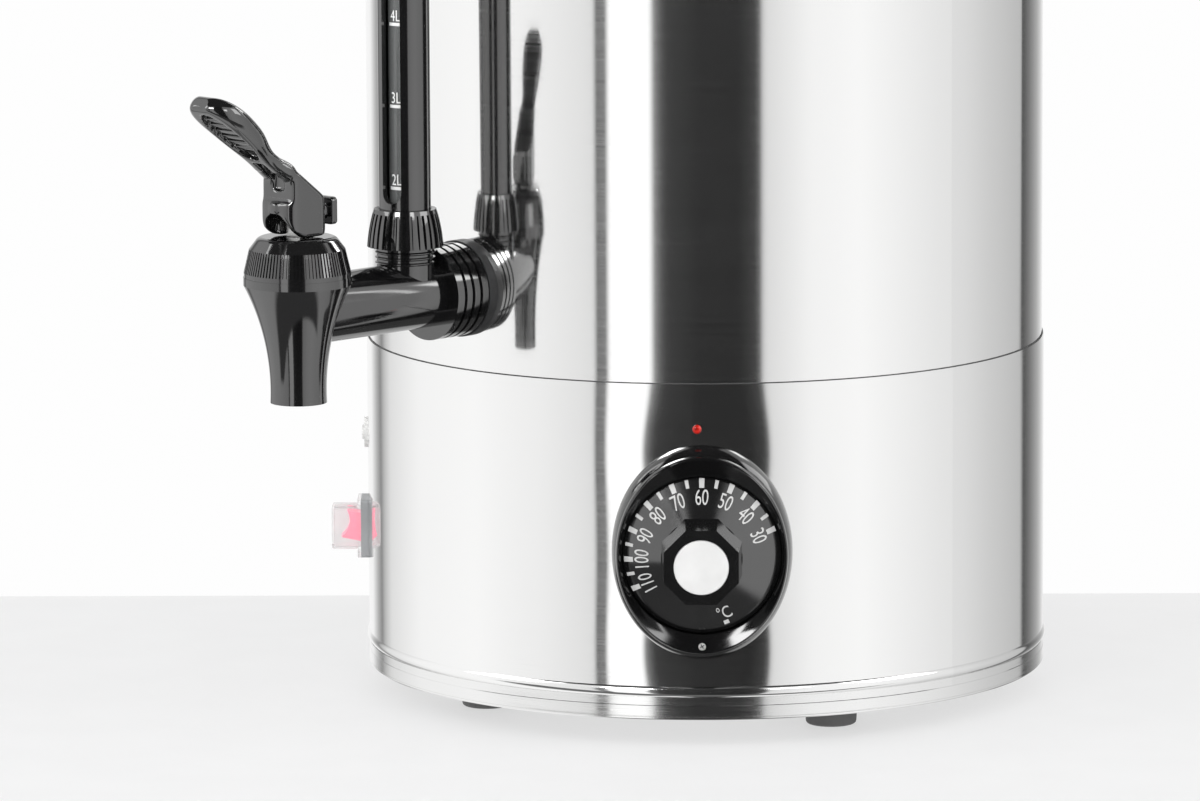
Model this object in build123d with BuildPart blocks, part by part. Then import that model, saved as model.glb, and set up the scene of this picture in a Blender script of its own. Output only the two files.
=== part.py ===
from build123d import *
import os
from math import atan2, cos, degrees, hypot, pi, radians, sin, sqrt, tan

# Insulated hot-drinks dispenser: a double-walled steel urn with a self-closing lever tap,
# a sight gauge, a thermostat dial and a rocker switch. Millimetres, +Z up, tap facing -Y.
# The origin is on the body's axis at the level of the surface that the feet stand on.
# An azimuth is counted in degrees from the tap towards +X, seen from above.

# Clearances
overrun = 3.0
slip = 0.1
run_fit = 0.05
part_gap = 0.3

# Shells
body_radius = 120.0
sheet = 0.6
sheet_fit = 0.05
foot_height = 10.0
base_height = 117.0
shell_lap = 9.0
skirt_height = 7.4
skirt_corner = 4.0
bead_height = 3.6
bead_bulge = 0.7
groove_gap = 0.2
pan_lap = 7.0
base_bore = body_radius + sheet_fit
base_radius = base_bore + sheet
seam_height = foot_height + base_height
skirt_top = foot_height + skirt_height
bead_bottom = skirt_top + groove_gap
bead_top = bead_bottom + bead_height
pan_spigot = base_bore - sheet_fit
shell_bore = body_radius - sheet

# Vessel
vessel_sheet = 0.8
jacket_gap = 12.6
vessel_rise = 10.0
vessel_depth = 300.0
vessel_corner = 6.0
weld_inset = 9.0
rim_corner = 3.0
lip_corner = 1.4
lip_drop = 6.0
lip_fit = 0.2
vessel_radius = shell_bore - jacket_gap - vessel_sheet
vessel_outside = vessel_radius + vessel_sheet
weld_radius = vessel_radius - weld_inset
vessel_floor = seam_height + vessel_rise
vessel_under = vessel_floor - vessel_sheet
rim_height = vessel_floor + vessel_depth
shell_top = rim_height - lip_corner
lip_radius = body_radius + lip_fit + vessel_sheet

# Feet and tie rod
foot_radius = 9.5
foot_circle_radius = 89.0
foot_count = 4
foot_azimuth = -16.0
foot_edge = 1.2
foot_draft = 4.0
foot_recess = 5.0
screw_radius = 2.0
screw_head_radius = 4.0
screw_head = 2.4
screw_grip = 5.0
tie_radius = 4.0
tie_nut_flats = 13.0
tie_nut_height = 6.5
tie_end = 1.2
foot_start = foot_azimuth - 90.0

# Heater
plate_inset = 36.0
plate_thick = 6.0
plate_edge = 1.5
boss_radius = 9.0
boss_drop = 10.0
element_inset = 18.0
element_width = 9.0
element_height = 7.0
element_edge = 2.5
element_sweep = 320.0
terminal_radius = 2.5
terminal_drop = 12.0
plate_radius = vessel_radius - plate_inset
element_circle_radius = plate_radius - element_inset
plate_under = vessel_under - plate_thick
element_under = plate_under - element_height

# Thermostat
dial_azimuth = 44.0
dial_height_share = 0.5
bezel_width = 62.0
bezel_length = 74.6
bezel_crest = 6.5
bezel_floor = 2.0
bezel_edge = 0.7
dial_radius = 27.2
dial_gap = 0.45
dial_rim = 2.8
cone_rise = 7.5
grip_flats = 28.0
grip_front_flats = 25.6
grip_length = 17.5
grip_sides = 8
cap_radius = 9.5
cap_thick = 1.6
cap_edge = 0.5
spindle_radius = 3.0
spindle_depth = 9.0
spindle_grip = 14.0
thermostat_size = 38.0
thermostat_depth = 24.0
thermostat_edge = 2.0
bush_radius = 5.0
stand_radius = 9.0
stand_length = 4.0
bezel_screw_radius = 1.9
bezel_screw_head = 1.0
bezel_screw_shank = 1.2
bezel_screw_length = 10.0
bezel_screw_drop = 31.8
bulb_radius = 3.2
bulb_length = 64.0
bulb_inset = 22.0
capillary_radius = 0.9
capillary_bend = 12.0
dial_height = foot_height + base_height * dial_height_share
bezel_reach = base_radius + bezel_crest
dial_back = base_radius + bezel_floor + part_gap
dial_edge_reach = dial_back + dial_rim
cone_top = dial_edge_reach + cone_rise
grip_front = cone_top + grip_length

# Pilot lamp
lamp_azimuth = 43.2
lamp_gap = 5.6
lamp_radius = 1.6
lamp_proud = 1.0
holder_radius = 4.0
holder_length = 12.0
lamp_height = dial_height + bezel_length / 2 + lamp_gap

# Switch
switch_azimuth = -45.0
switch_drop = 70.0
frame_width = 15.0
frame_tall = 21.0
frame_proud = 2.6
frame_edge = 1.0
switch_wall = 1.3
switch_depth = 20.0
well_width = 9.8
well_tall = 15.4
well_depth = 9.0
rocker_width = 9.0
rocker_half = 5.0
rocker_out = 7.2
rocker_dish = 1.8
rocker_root = 2.6
rocker_pivot = 1.0
rocker_axle = 1.2
rocker_tilt = 12.0
boot_width = 12.6
boot_tall = 15.4
boot_proud = 9.3
boot_wall = 0.8
boot_flange = 1.2
boot_edge = 2.2
switch_height = seam_height - switch_drop
frame_front = base_radius + frame_proud
boot_front = frame_front + boot_flange + boot_proud
pivot_in = frame_front - rocker_pivot

# Reset button
reset_drop = 36.0
reset_flange = 5.5
reset_flange_proud = 1.2
reset_bush = 4.0
reset_button_radius = 2.6
reset_proud = 0.9
reset_travel = 1.5
cutout_radius = 9.0
cutout_depth = 16.0
reset_height = seam_height - reset_drop

# Cable entry
gland_height_share = 0.26
gland_flats = 17.0
gland_flange = 4.0
gland_thread = 6.0
gland_bore = 4.0
gland_dome = 5.0
gland_draft = 15.0
gland_length = 12.0
gland_nut_flats = 16.0
gland_nut_height = 4.0
gland_height = foot_height + base_height * gland_height_share
block_length = 34.0
block_width = 18.0
block_height = 14.0
block_reach = 62.0
block_pole = 2.6
block_poles = 3

# Tap tee: the collar, the run and the branch under the gauge
tap_rise = 28.6
seal_thick = 2.6
seal_radius = 16.8
collar_radius = 16.4
collar_length = 14.8
collar_groove = 1.3
collar_groove_deep = 1.1
collar_grooves = 3
pipe_radius = 11.75
pipe_bore = 8.0
gauge_reach = 26.9
tee_front = 11.6
socket_depth = 8.0
socket_wall = 1.75
spigot_radius = 10.4
spigot_length = 15.0
nut_radius = 15.2
nut_thick = 5.5
nut_flutes = 8
nut_flute_radius = 2.2
inner_seal_thick = 3.0
inner_seal_radius = 12.4
spacer_wall = 2.4
branch_radius = 10.0
branch_rise = 23.0
tap_height = seam_height + tap_rise
wall_face = body_radius + seal_thick
collar_face = wall_face + collar_length
gauge_axis_reach = body_radius + gauge_reach
tee_face = gauge_axis_reach + tee_front
socket_radius = pipe_radius - socket_wall
vessel_face = vessel_radius - inner_seal_thick
branch_top = tap_height + branch_rise

# Tap body and bonnet
tap_reach = 77.6
bonnet_rise = 12.4
flange_radius = 18.5
flange_drop = 2.8
shoulder_radius = 14.3
spout_radius = 9.7
spout_drop = 31.0
spout_bore = 6.8
seat_drop = 8.6
seat_radius = 9.2
chamber_radius = 11.4
waist_drop = 12.1
waist_radius = 11.0
ledge_height = 1.6
ledge_radius = 18.3
rib_band = 8.0
rib_top_radius = 16.4
crown_rise = 13.8
crown_radius = 13.2
crown_round = 2.6
bonnet_lip = 1.6
bonnet_roof = 5.0
bonnet_spigot = 4.5
rib_count = 90
rib_deep = 0.5
tap_axis_reach = body_radius + tap_reach
bonnet_seat = tap_height + bonnet_rise
spout_bottom = tap_height - spout_drop
seat_height = tap_height - seat_drop
bonnet_top = bonnet_seat + crown_rise
roof_under = bonnet_top - bonnet_roof
bonnet_bore = chamber_radius - slip - bonnet_lip

# Valve
stem_radius = 4.0
stem_flats = 7.0
stem_flat_drop = 3.5
tongue_half = 2.9
cup_radius = 8.4
cup_height = 12.0
cup_waist = 6.6
cup_lip = 3.0
stem_bite = 7.0
spring_radius = 6.2
spring_wire = 0.8
spring_turns = 4
spring_sides = 8
pin_radius = 1.75
pin_length = 12.6

# Lever
cam_radius = 6.0
cam_throw = 3.6
pivot_setback = 1.0
pivot_rise = 5.0
lever_back = 7.8
lever_block = 19.1
lever_width = 16.5
lever_round = 4.0
cam_sweep = 40.0
brow_out = 2.0
brow_rise = 9.0
brow_top = 12.0
ledge_rise = 13.2
neck_thick = 5.0
pad_width = 21.4
pad_thick = 7.6
arm_angle = 37.8
arm_length = 46.0
arm_station_shares = (-0.15, 0, 0.2, 0.34, 0.46, 0.6, 0.76, 0.89, 0.965, 1)
arm_width_shares = (0.71, 0.71, 0.66, 0.71, 0.85, 0.95, 1, 0.87, 0.61, 0.35)
arm_thick_shares = (0.6, 0.63, 0.64, 0.7, 0.9, 1, 1, 0.92, 0.78, 0.58)
arm_edge_share = 0.46
arm_tip = 1.8
lever_edge = 1.8
slot_splay = 11.6
arch_radius = 5.6
arch_rise = 2.6
arch_deep = 6.5
boss_width = 3.6
boss_foot = 8.2
boss_tall = 4.2
boss_out = 0.8
tail_gap = 3.6
tail_thick = 2.6
tail_height = 9.6
tail_width = 11.0
tail_round = 1.6
tail_stub = 4.0
tail_rise = 2.8
pocket_length = 29.0
pocket_width = 13.0
pocket_deep = 2.4
pocket_place_share = 0.6
pad_rib = 1.9
pad_rib_deep = 1.0
pad_rib_pitch = 3.5
pad_ribs = 6
channel_width = 5.0
channel_deep = 2.4
channel_length_share = 0.25
notch_deep = 1.8
notch_drop = 3.0
lever_foot = bonnet_top + part_gap
pivot_reach = tap_axis_reach - pivot_setback
pivot_height = lever_foot + pivot_rise
nose_reach = pivot_reach + cam_throw
lever_front = nose_reach + cam_radius
lever_rear = tap_axis_reach - lever_back
block_top = lever_foot + lever_block
brow_front = lever_front + brow_out
slot_half = tongue_half + part_gap + slip

# Sight gauge
sleeve_radius = 9.0
sleeve_bore = 6.6
slot_width = 7.4
slot_turn = 14.0
slot_foot = 2.4
slot_head = 6.0
tube_radius = 5.4
tube_bore = 3.8
tube_foot = 7.0
gauge_nut_lap = 5.4
gauge_nut_height = 13.0
gauge_nut_radius = 13.2
gauge_nut_neck = 10.8
gauge_nut_roof = 2.4
gauge_nut_flutes = 32
gauge_nut_flute_depth = 0.6
gauge_seal_height = 3.0
head_drop = 32.0
head_socket = 11.6
head_socket_drop = 12.0
head_stub = 7.5
head_flange = 11.0
head_flange_thick = 3.0
head_dome = 9.0
head_stub_end = 1.0
head_nut_flats = 19.0
head_nut_thick = 4.0
sleeve_foot = branch_top + gauge_seal_height
gauge_nut_foot = branch_top - gauge_nut_lap
head_height = rim_height - head_drop
sleeve_top = head_height - pipe_radius + head_stub

# Handles
handle_drop = 52.0
handle_span = 112.0
handle_reach = 50.0
handle_bar = 15.0
handle_leg = 18.0
handle_tall = 22.0
handle_outer_corner = 24.0
handle_inner_corner = 12.0
handle_edge = 5.0
handle_screw_radius = 2.2
handle_screw_grip = 13.0
handle_screw_head_radius = 4.4
handle_screw_head = 2.6
handle_azimuth = 90.0
handle_height = rim_height - handle_drop
handle_out = body_radius + handle_reach
leg_middle = (handle_span - handle_leg) / 2
leg_turn = degrees(atan2(leg_middle, sqrt(body_radius**2 - leg_middle**2)))

# Lid
lid_sheet = 0.8
lid_seat = 0.2
lid_overlap = 2.2
lid_fit = 0.8
lid_channel = 8.0
lid_channel_drop = 7.0
lid_dome = 20.0
lid_corner = 2.0
knob_foot_radius = 15.0
knob_neck_radius = 9.0
knob_radius = 21.0
knob_height = 32.0
knob_foot = 3.0
knob_neck = 14.0
knob_brim = 7.0
knob_crown = 5.0
knob_screw_depth = 16.0
lid_under = rim_height + lid_seat
lid_edge = lip_radius - lid_overlap
lid_wall = vessel_radius - lid_fit
lid_inner = lid_wall - lid_channel
dome_top = lid_under + lid_dome
dome_foot = lid_under - lid_channel_drop
dome_rise = dome_top - dome_foot


def facing(azimuth, height, reach):
    """A plane square to the wall at this azimuth: its normal points outwards and its y axis up."""
    turn = radians(azimuth)
    out = Vector(sin(turn), -cos(turn), 0)
    return Plane(origin=out * reach + Vector(0, 0, height), x_dir=(cos(turn), sin(turn), 0), z_dir=out)


def upright(reach):
    """The plane through an axis at this reach in front of the body, for profiles turned about it."""
    return Plane(origin=(0, -reach, 0), x_dir=(1, 0, 0), z_dir=(0, -1, 0))


def flanks(reach, foot, head, count):
    """The cross-section planes of grooves up a flank from foot to head, each a radius and a height,
    round an upright axis at this reach."""
    planes = []
    for groove in range(count):
        turn = 360 * groove / count
        low = Vector(0, -foot[0], foot[1]).rotate(Axis.Z, turn)
        high = Vector(0, -head[0], head[1]).rotate(Axis.Z, turn)
        across = Vector(1, 0, 0).rotate(Axis.Z, turn)
        planes.append(Plane(origin=low - Vector(0, reach, 0), x_dir=across, z_dir=high - low))
    return planes


def dome_drop(radius, rise, reach):
    """How far a spherical dome of this edge radius and rise has fallen from its top at this reach."""
    sphere = (radius**2 + rise**2) / (2 * rise)
    return sphere - sqrt(sphere**2 - reach**2)


# The vertical plane through the tap, where x is the reach from the body's axis and y the height.
tap_side = Plane(origin=(0, 0, 0), x_dir=(0, -1, 0), z_dir=(-1, 0, 0))
pipe_axis = Axis((0, 0, tap_height), (0, -1, 0))
tap_axis = Axis((0, -tap_axis_reach, 0), (0, 0, 1))
gauge_axis = Axis((0, -gauge_axis_reach, 0), (0, 0, 1))


# Upper shell: the polished outer wall, with holes for the tap, the gauge head and the handles.
with BuildPart() as outer_shell:
    with BuildSketch(Plane.XY.offset(seam_height - shell_lap)):
        Circle(body_radius)
        Circle(shell_bore, mode=Mode.SUBTRACT)
    extrude(amount=shell_top - seam_height + shell_lap)
    with BuildSketch(facing(0, tap_height, 0)):
        Circle(spigot_radius + slip)
    extrude(amount=body_radius + overrun, mode=Mode.SUBTRACT)
    with BuildSketch(facing(0, head_height, 0)):
        Circle(head_stub + slip)
    extrude(amount=body_radius + overrun, mode=Mode.SUBTRACT)
    for side in (handle_azimuth, -handle_azimuth):
        for turn in (leg_turn, -leg_turn):
            with BuildSketch(facing(side + turn, handle_height, 0)):
                Circle(handle_screw_radius + slip)
            extrude(amount=body_radius + overrun, mode=Mode.SUBTRACT)
    with BuildSketch(facing(lamp_azimuth, lamp_height, 0)):
        Circle(holder_radius + slip)
    extrude(amount=body_radius + overrun, mode=Mode.SUBTRACT)

# Base shell: a slightly wider drum with a rolled bead at its foot and the control cut-outs.
with BuildPart() as base_shell:
    with BuildSketch(Plane.XZ):
        with BuildLine():
            ThreePointArc(
                (base_radius, bead_bottom),
                (base_radius + bead_bulge, bead_bottom + bead_height / 2),
                (base_radius, bead_top),
            )
            Polyline(
                (base_radius, bead_top),
                (base_radius, seam_height),
                (base_bore, seam_height),
                (base_bore, bead_bottom),
                (base_radius, bead_bottom),
            )
        make_face()
    revolve(axis=Axis.Z)
    with BuildSketch(facing(dial_azimuth, dial_height, 0)):
        Circle(bush_radius + slip)
        with Locations((0, -bezel_screw_drop)):
            Circle(bezel_screw_shank + slip)
    extrude(amount=base_radius + overrun, mode=Mode.SUBTRACT)
    with BuildSketch(facing(lamp_azimuth, lamp_height, 0)):
        Circle(lamp_radius + slip)
    extrude(amount=base_radius + overrun, mode=Mode.SUBTRACT)
    with BuildSketch(facing(switch_azimuth, switch_height, 0)):
        Rectangle(well_width + 2 * switch_wall + 2 * slip, well_tall + 2 * switch_wall + 2 * slip)
    extrude(amount=base_radius + overrun, mode=Mode.SUBTRACT)
    with BuildSketch(facing(switch_azimuth, reset_height, 0)):
        Circle(reset_bush + slip)
    extrude(amount=base_radius + overrun, mode=Mode.SUBTRACT)
    with BuildSketch(facing(180, gland_height, 0)):
        Circle(gland_thread + slip)
    extrude(amount=base_radius + overrun, mode=Mode.SUBTRACT)

# Base pan: the pressed floor that closes the base, with a rounded skirt below the bead.
with BuildPart() as base_pan:
    with BuildSketch(Plane.XZ) as pan_profile:
        with BuildLine():
            Polyline(
                (0, foot_height),
                (base_radius, foot_height),
                (base_radius, skirt_top),
                (pan_spigot, skirt_top),
                (pan_spigot, skirt_top + pan_lap),
                (pan_spigot - sheet, skirt_top + pan_lap),
                (pan_spigot - sheet, foot_height + sheet),
                (0, foot_height + sheet),
                close=True,
            )
        make_face()
        fillet(pan_profile.vertices().sort_by_distance((base_radius, foot_height))[0], skirt_corner)
        inner_corner = pan_profile.vertices().sort_by_distance((pan_spigot - sheet, foot_height + sheet))[0]
        fillet(inner_corner, skirt_corner)
    revolve(axis=Axis.Z)
    with BuildSketch(Plane.XY.offset(foot_height)):
        Circle(tie_radius + slip)
        with PolarLocations(foot_circle_radius, foot_count, foot_start):
            Circle(screw_radius)
    extrude(amount=sheet, mode=Mode.SUBTRACT)

# Feet: drafted rubber studs, recessed for their screws.
with BuildPart() as feet:
    with BuildSketch(Plane.XY.offset(foot_height)):
        with PolarLocations(foot_circle_radius, foot_count, foot_start):
            Circle(foot_radius)
    extrude(amount=-foot_height, taper=foot_draft)
    fillet(feet.edges().group_by(Axis.Z)[0], foot_edge)
    with BuildSketch(Plane.XY):
        with PolarLocations(foot_circle_radius, foot_count, foot_start):
            Circle(screw_head_radius + slip)
    extrude(amount=foot_recess, mode=Mode.SUBTRACT)
    with BuildSketch(Plane.XY.offset(foot_recess)):
        with PolarLocations(foot_circle_radius, foot_count, foot_start):
            Circle(screw_radius)
    extrude(amount=foot_height - foot_recess, mode=Mode.SUBTRACT)

with BuildPart() as foot_screws:
    with BuildSketch(Plane.XY.offset(foot_recess - screw_head)):
        with PolarLocations(foot_circle_radius, foot_count, foot_start):
            Circle(screw_head_radius)
    extrude(amount=screw_head)
    with BuildSketch(Plane.XY.offset(foot_recess)):
        with PolarLocations(foot_circle_radius, foot_count, foot_start):
            Circle(screw_radius)
    extrude(amount=foot_height - foot_recess + sheet + screw_grip)

# Tie rod and nut: they pull the pan and the base shell up against the vessel's heater plate.
with BuildPart() as tie_rod:
    with BuildSketch(Plane.XY.offset(foot_height - tie_nut_height - tie_end)):
        Circle(tie_radius)
    extrude(amount=plate_under - foot_height + tie_nut_height + tie_end)

with BuildPart() as tie_nut:
    with BuildSketch(Plane.XY.offset(foot_height - tie_nut_height)):
        RegularPolygon(tie_nut_flats / 2, 6, major_radius=False)
        Circle(tie_radius, mode=Mode.SUBTRACT)
    extrude(amount=tie_nut_height)

# Inner vessel: a rolled wall whose rim folds over the top edge of the upper shell, and the
# floor disc welded into its turned-in foot.
with BuildPart() as inner_vessel:
    with BuildSketch(Plane.XZ):
        with BuildLine():
            FilletPolyline(
                (weld_radius, vessel_floor),
                (vessel_radius, vessel_floor),
                (vessel_radius, rim_height),
                (lip_radius, rim_height),
                (lip_radius, rim_height - lip_drop),
                radius=(vessel_corner, rim_corner, lip_corner),
            )
            offset(amount=vessel_sheet, side=Side.RIGHT)
        make_face()
    revolve(axis=Axis.Z)
    with BuildSketch(facing(0, tap_height, 0)):
        Circle(spigot_radius + slip)
    extrude(amount=vessel_radius + vessel_sheet + overrun, mode=Mode.SUBTRACT)

with BuildPart() as vessel_base:
    with BuildSketch(Plane.XY.offset(vessel_under)):
        Circle(weld_radius)
    extrude(amount=vessel_sheet)

# Heater: a cast plate under the vessel with the element's open ring pressed against it.
with BuildPart() as heater_plate:
    with BuildSketch(Plane.XY.offset(plate_under)):
        Circle(plate_radius)
    extrude(amount=plate_thick)
    chamfer(heater_plate.edges().group_by(Axis.Z)[0], plate_edge)
    with BuildSketch(Plane.XY.offset(plate_under - boss_drop)):
        Circle(boss_radius)
        Circle(tie_radius, mode=Mode.SUBTRACT)
    extrude(amount=boss_drop)

with BuildPart() as heating_element:
    with BuildSketch(Plane.XZ) as element_section:
        with Locations((element_circle_radius, plate_under - element_height / 2)):
            Rectangle(element_width, element_height)
        fillet(element_section.vertices().group_by(Axis.Y)[0], element_edge)
    revolve(axis=Axis.Z, revolution_arc=element_sweep)
    with BuildSketch(Plane.XY.offset(element_under - terminal_drop)):
        end_turn = degrees(terminal_radius * 2 / element_circle_radius)
        with PolarLocations(element_circle_radius, 1, end_turn):
            Circle(terminal_radius)
        with PolarLocations(element_circle_radius, 1, element_sweep - end_turn):
            Circle(terminal_radius)
    extrude(amount=terminal_drop + element_edge)

# Thermostat: the housing behind the wall, held by its threaded bush.
with BuildPart() as thermostat_body:
    with BuildSketch(facing(dial_azimuth, dial_height, base_bore - stand_length)):
        RectangleRounded(thermostat_size, thermostat_size, thermostat_edge)
    extrude(amount=-thermostat_depth)
    with BuildSketch(facing(dial_azimuth, dial_height, base_bore - stand_length)):
        Circle(stand_radius)
    extrude(amount=stand_length + overrun)
    with BuildSketch(Plane.XY.offset(foot_height)):
        Circle(base_bore)
    extrude(amount=base_height, mode=Mode.INTERSECT)
    with BuildSketch(facing(dial_azimuth, dial_height, base_bore - stand_length)):
        Circle(bush_radius)
    extrude(amount=dial_back - part_gap - base_bore + stand_length)
    with BuildSketch(facing(dial_azimuth, dial_height, dial_back)):
        Circle(spindle_radius + run_fit)
    extrude(amount=base_bore - stand_length - dial_back - spindle_depth, mode=Mode.SUBTRACT)

# Bezel: an oval black moulding that saddles the wall, with a round well for the dial.
screw_seat = facing(dial_azimuth, dial_height - bezel_screw_drop, bezel_reach - bezel_screw_head)
with BuildPart() as thermostat_bezel:
    with BuildSketch(facing(dial_azimuth, dial_height, base_radius - bezel_crest)):
        Ellipse(bezel_width / 2, bezel_length / 2)
    with BuildSketch(facing(dial_azimuth, dial_height, base_radius + bezel_floor)):
        Ellipse(bezel_width / 2 - bezel_edge / 4, bezel_length / 2 - bezel_edge / 2)
    with BuildSketch(facing(dial_azimuth, dial_height, bezel_reach)):
        Ellipse(bezel_width / 2 - bezel_edge * 2, bezel_length / 2 - bezel_edge * 4)
    loft()
    with BuildSketch(facing(dial_azimuth, dial_height, base_radius + bezel_floor)):
        Circle(dial_radius + dial_gap)
    extrude(amount=bezel_crest, mode=Mode.SUBTRACT)
    with BuildSketch(Plane.XY.offset(foot_height)):
        Circle(base_radius)
    extrude(amount=base_height, mode=Mode.SUBTRACT)
    with BuildSketch(facing(dial_azimuth, dial_height, 0)):
        Circle(bush_radius + slip)
        with Locations((0, -bezel_screw_drop)):
            Circle(bezel_screw_shank)
    extrude(amount=bezel_reach + overrun, mode=Mode.SUBTRACT)
    with BuildSketch(screw_seat):
        Circle(bezel_screw_radius + slip)
    extrude(amount=bezel_crest, mode=Mode.SUBTRACT)

with BuildPart() as bezel_screw:
    with BuildSketch(screw_seat):
        Circle(bezel_screw_radius)
    extrude(amount=bezel_screw_head)
    with BuildSketch(screw_seat):
        Circle(bezel_screw_shank)
    extrude(amount=-bezel_screw_length)

# Dial: a coned scale with an octagonal grip, on the thermostat's spindle.
with BuildPart() as thermostat_dial:
    with BuildSketch(facing(dial_azimuth, dial_height, dial_back)):
        Circle(dial_radius)
    extrude(amount=dial_rim)
    with BuildSketch(facing(dial_azimuth, dial_height, dial_edge_reach)):
        Circle(dial_radius)
    with BuildSketch(facing(dial_azimuth, dial_height, cone_top)):
        Circle(grip_flats / 2)
    loft()
    with BuildSketch(facing(dial_azimuth, dial_height, cone_top - cone_rise / 2)):
        RegularPolygon(grip_flats / 2, grip_sides, major_radius=False, rotation=180 / grip_sides)
    with BuildSketch(facing(dial_azimuth, dial_height, grip_front)):
        RegularPolygon(grip_front_flats / 2, grip_sides, major_radius=False, rotation=180 / grip_sides)
    loft()
    with BuildSketch(facing(dial_azimuth, dial_height, grip_front)):
        Circle(cap_radius + slip)
    extrude(amount=-cap_thick, mode=Mode.SUBTRACT)
    with BuildSketch(facing(dial_azimuth, dial_height, dial_back)):
        Circle(spindle_radius)
    extrude(amount=spindle_grip, mode=Mode.SUBTRACT)

with BuildPart() as dial_cap:
    with BuildSketch(facing(dial_azimuth, dial_height, grip_front - cap_thick)):
        Circle(cap_radius)
    extrude(amount=cap_thick)
    cap_front = facing(dial_azimuth, dial_height, grip_front).origin
    fillet(dial_cap.faces().sort_by_distance(cap_front)[0].edges(), cap_edge)

with BuildPart() as thermostat_spindle:
    with BuildSketch(facing(dial_azimuth, dial_height, base_bore - stand_length - spindle_depth)):
        Circle(spindle_radius)
    extrude(amount=dial_back + spindle_grip - base_bore + stand_length + spindle_depth)

# Thermostat bulb: a sensing phial under the vessel and its capillary down to the housing.
bulb_height = vessel_under - bulb_radius - slip
dial_out = facing(dial_azimuth, dial_height, 0).z_dir
dial_across = facing(dial_azimuth, dial_height, 0).x_dir
housing_middle = base_bore - stand_length - thermostat_depth / 2
bulb_middle = dial_out * (vessel_radius - bulb_inset) + Vector(0, 0, bulb_height)
bulb_end = bulb_middle + dial_across * (bulb_length / 2)
housing_top = dial_height + thermostat_size / 2
housing_port = dial_out * housing_middle + Vector(0, 0, housing_top)
with BuildPart() as thermostat_bulb:
    with BuildSketch(Plane(origin=bulb_end, z_dir=-dial_across)):
        Circle(bulb_radius)
    extrude(amount=bulb_length)
    with BuildLine() as capillary_path:
        tail_out = bulb_end + dial_across * (2 * capillary_bend)
        tail_down = Vector(tail_out.X, tail_out.Y, (bulb_height + housing_top) / 2)
        over_port = Vector(housing_port.X, housing_port.Y, tail_down.Z)
        FilletPolyline(bulb_end, tail_out, tail_down, over_port, housing_port, radius=capillary_bend / 2)
    with BuildSketch(Plane(origin=bulb_end, z_dir=dial_across)):
        Circle(capillary_radius)
    sweep(path=capillary_path.wire())

# Pilot lamp: a red domed lens and the holder behind the wall.
with BuildPart() as pilot_lens:
    with BuildSketch(facing(lamp_azimuth, lamp_height, base_bore - holder_length / 2)):
        Circle(lamp_radius)
    extrude(amount=base_radius + lamp_proud - base_bore + holder_length / 2)
    lamp_front = facing(lamp_azimuth, lamp_height, base_radius + lamp_proud).origin
    fillet(pilot_lens.faces().sort_by_distance(lamp_front)[0].edges(), lamp_proud)

with BuildPart() as pilot_holder:
    with BuildSketch(facing(lamp_azimuth, lamp_height, base_bore - holder_length)):
        Circle(holder_radius)
    extrude(amount=holder_length + overrun)
    with BuildSketch(Plane.XY.offset(foot_height)):
        Circle(base_bore)
    extrude(amount=base_height, mode=Mode.INTERSECT)
    with BuildSketch(facing(lamp_azimuth, lamp_height, base_bore - holder_length / 2)):
        Circle(lamp_radius)
    extrude(amount=holder_length, mode=Mode.SUBTRACT)

# Switch: frame and case in one moulding, with a well for the rocker and sockets for its axle.
with BuildPart() as switch_frame:
    with BuildSketch(facing(switch_azimuth, switch_height, base_radius - frame_proud)):
        RectangleRounded(frame_width, frame_tall, frame_edge)
    extrude(amount=2 * frame_proud)
    with BuildSketch(Plane.XY.offset(foot_height)):
        Circle(base_radius)
    extrude(amount=base_height, mode=Mode.SUBTRACT)
    with BuildSketch(facing(switch_azimuth, switch_height, frame_front)):
        Rectangle(well_width + 2 * switch_wall, well_tall + 2 * switch_wall)
    extrude(amount=-switch_depth)
    with BuildSketch(facing(switch_azimuth, switch_height, frame_front)):
        Rectangle(well_width, well_tall)
    extrude(amount=-well_depth, mode=Mode.SUBTRACT)
    axle_side = facing(switch_azimuth, switch_height, pivot_in)
    with BuildSketch(Plane(origin=axle_side.origin, x_dir=axle_side.z_dir, z_dir=axle_side.x_dir)):
        Circle(rocker_axle + run_fit)
    extrude(amount=well_width / 2 + switch_wall / 2, both=True, mode=Mode.SUBTRACT)

# Rocker: a dished rocker on its axle, resting with its lower half out.
rocker_lean = radians(rocker_tilt)
rocker_rest = Plane(
    origin=axle_side.origin,
    x_dir=axle_side.z_dir * cos(rocker_lean) + axle_side.y_dir * sin(rocker_lean),
    z_dir=axle_side.x_dir,
)
with BuildPart() as rocker:
    with BuildSketch(rocker_rest):
        with BuildLine():
            Polyline(
                (rocker_out, -rocker_half),
                (-rocker_pivot, -rocker_half),
                (-rocker_root, -rocker_half / 2),
                (-rocker_root, rocker_half / 2),
                (-rocker_pivot, rocker_half),
                (rocker_out, rocker_half),
            )
            ThreePointArc(
                (rocker_out, rocker_half),
                (rocker_out - rocker_dish, 0),
                (rocker_out, -rocker_half),
            )
        make_face()
    extrude(amount=rocker_width / 2, both=True)
    with BuildSketch(rocker_rest):
        Circle(rocker_axle)
    extrude(amount=well_width / 2 + switch_wall / 2 - slip, both=True)

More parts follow.
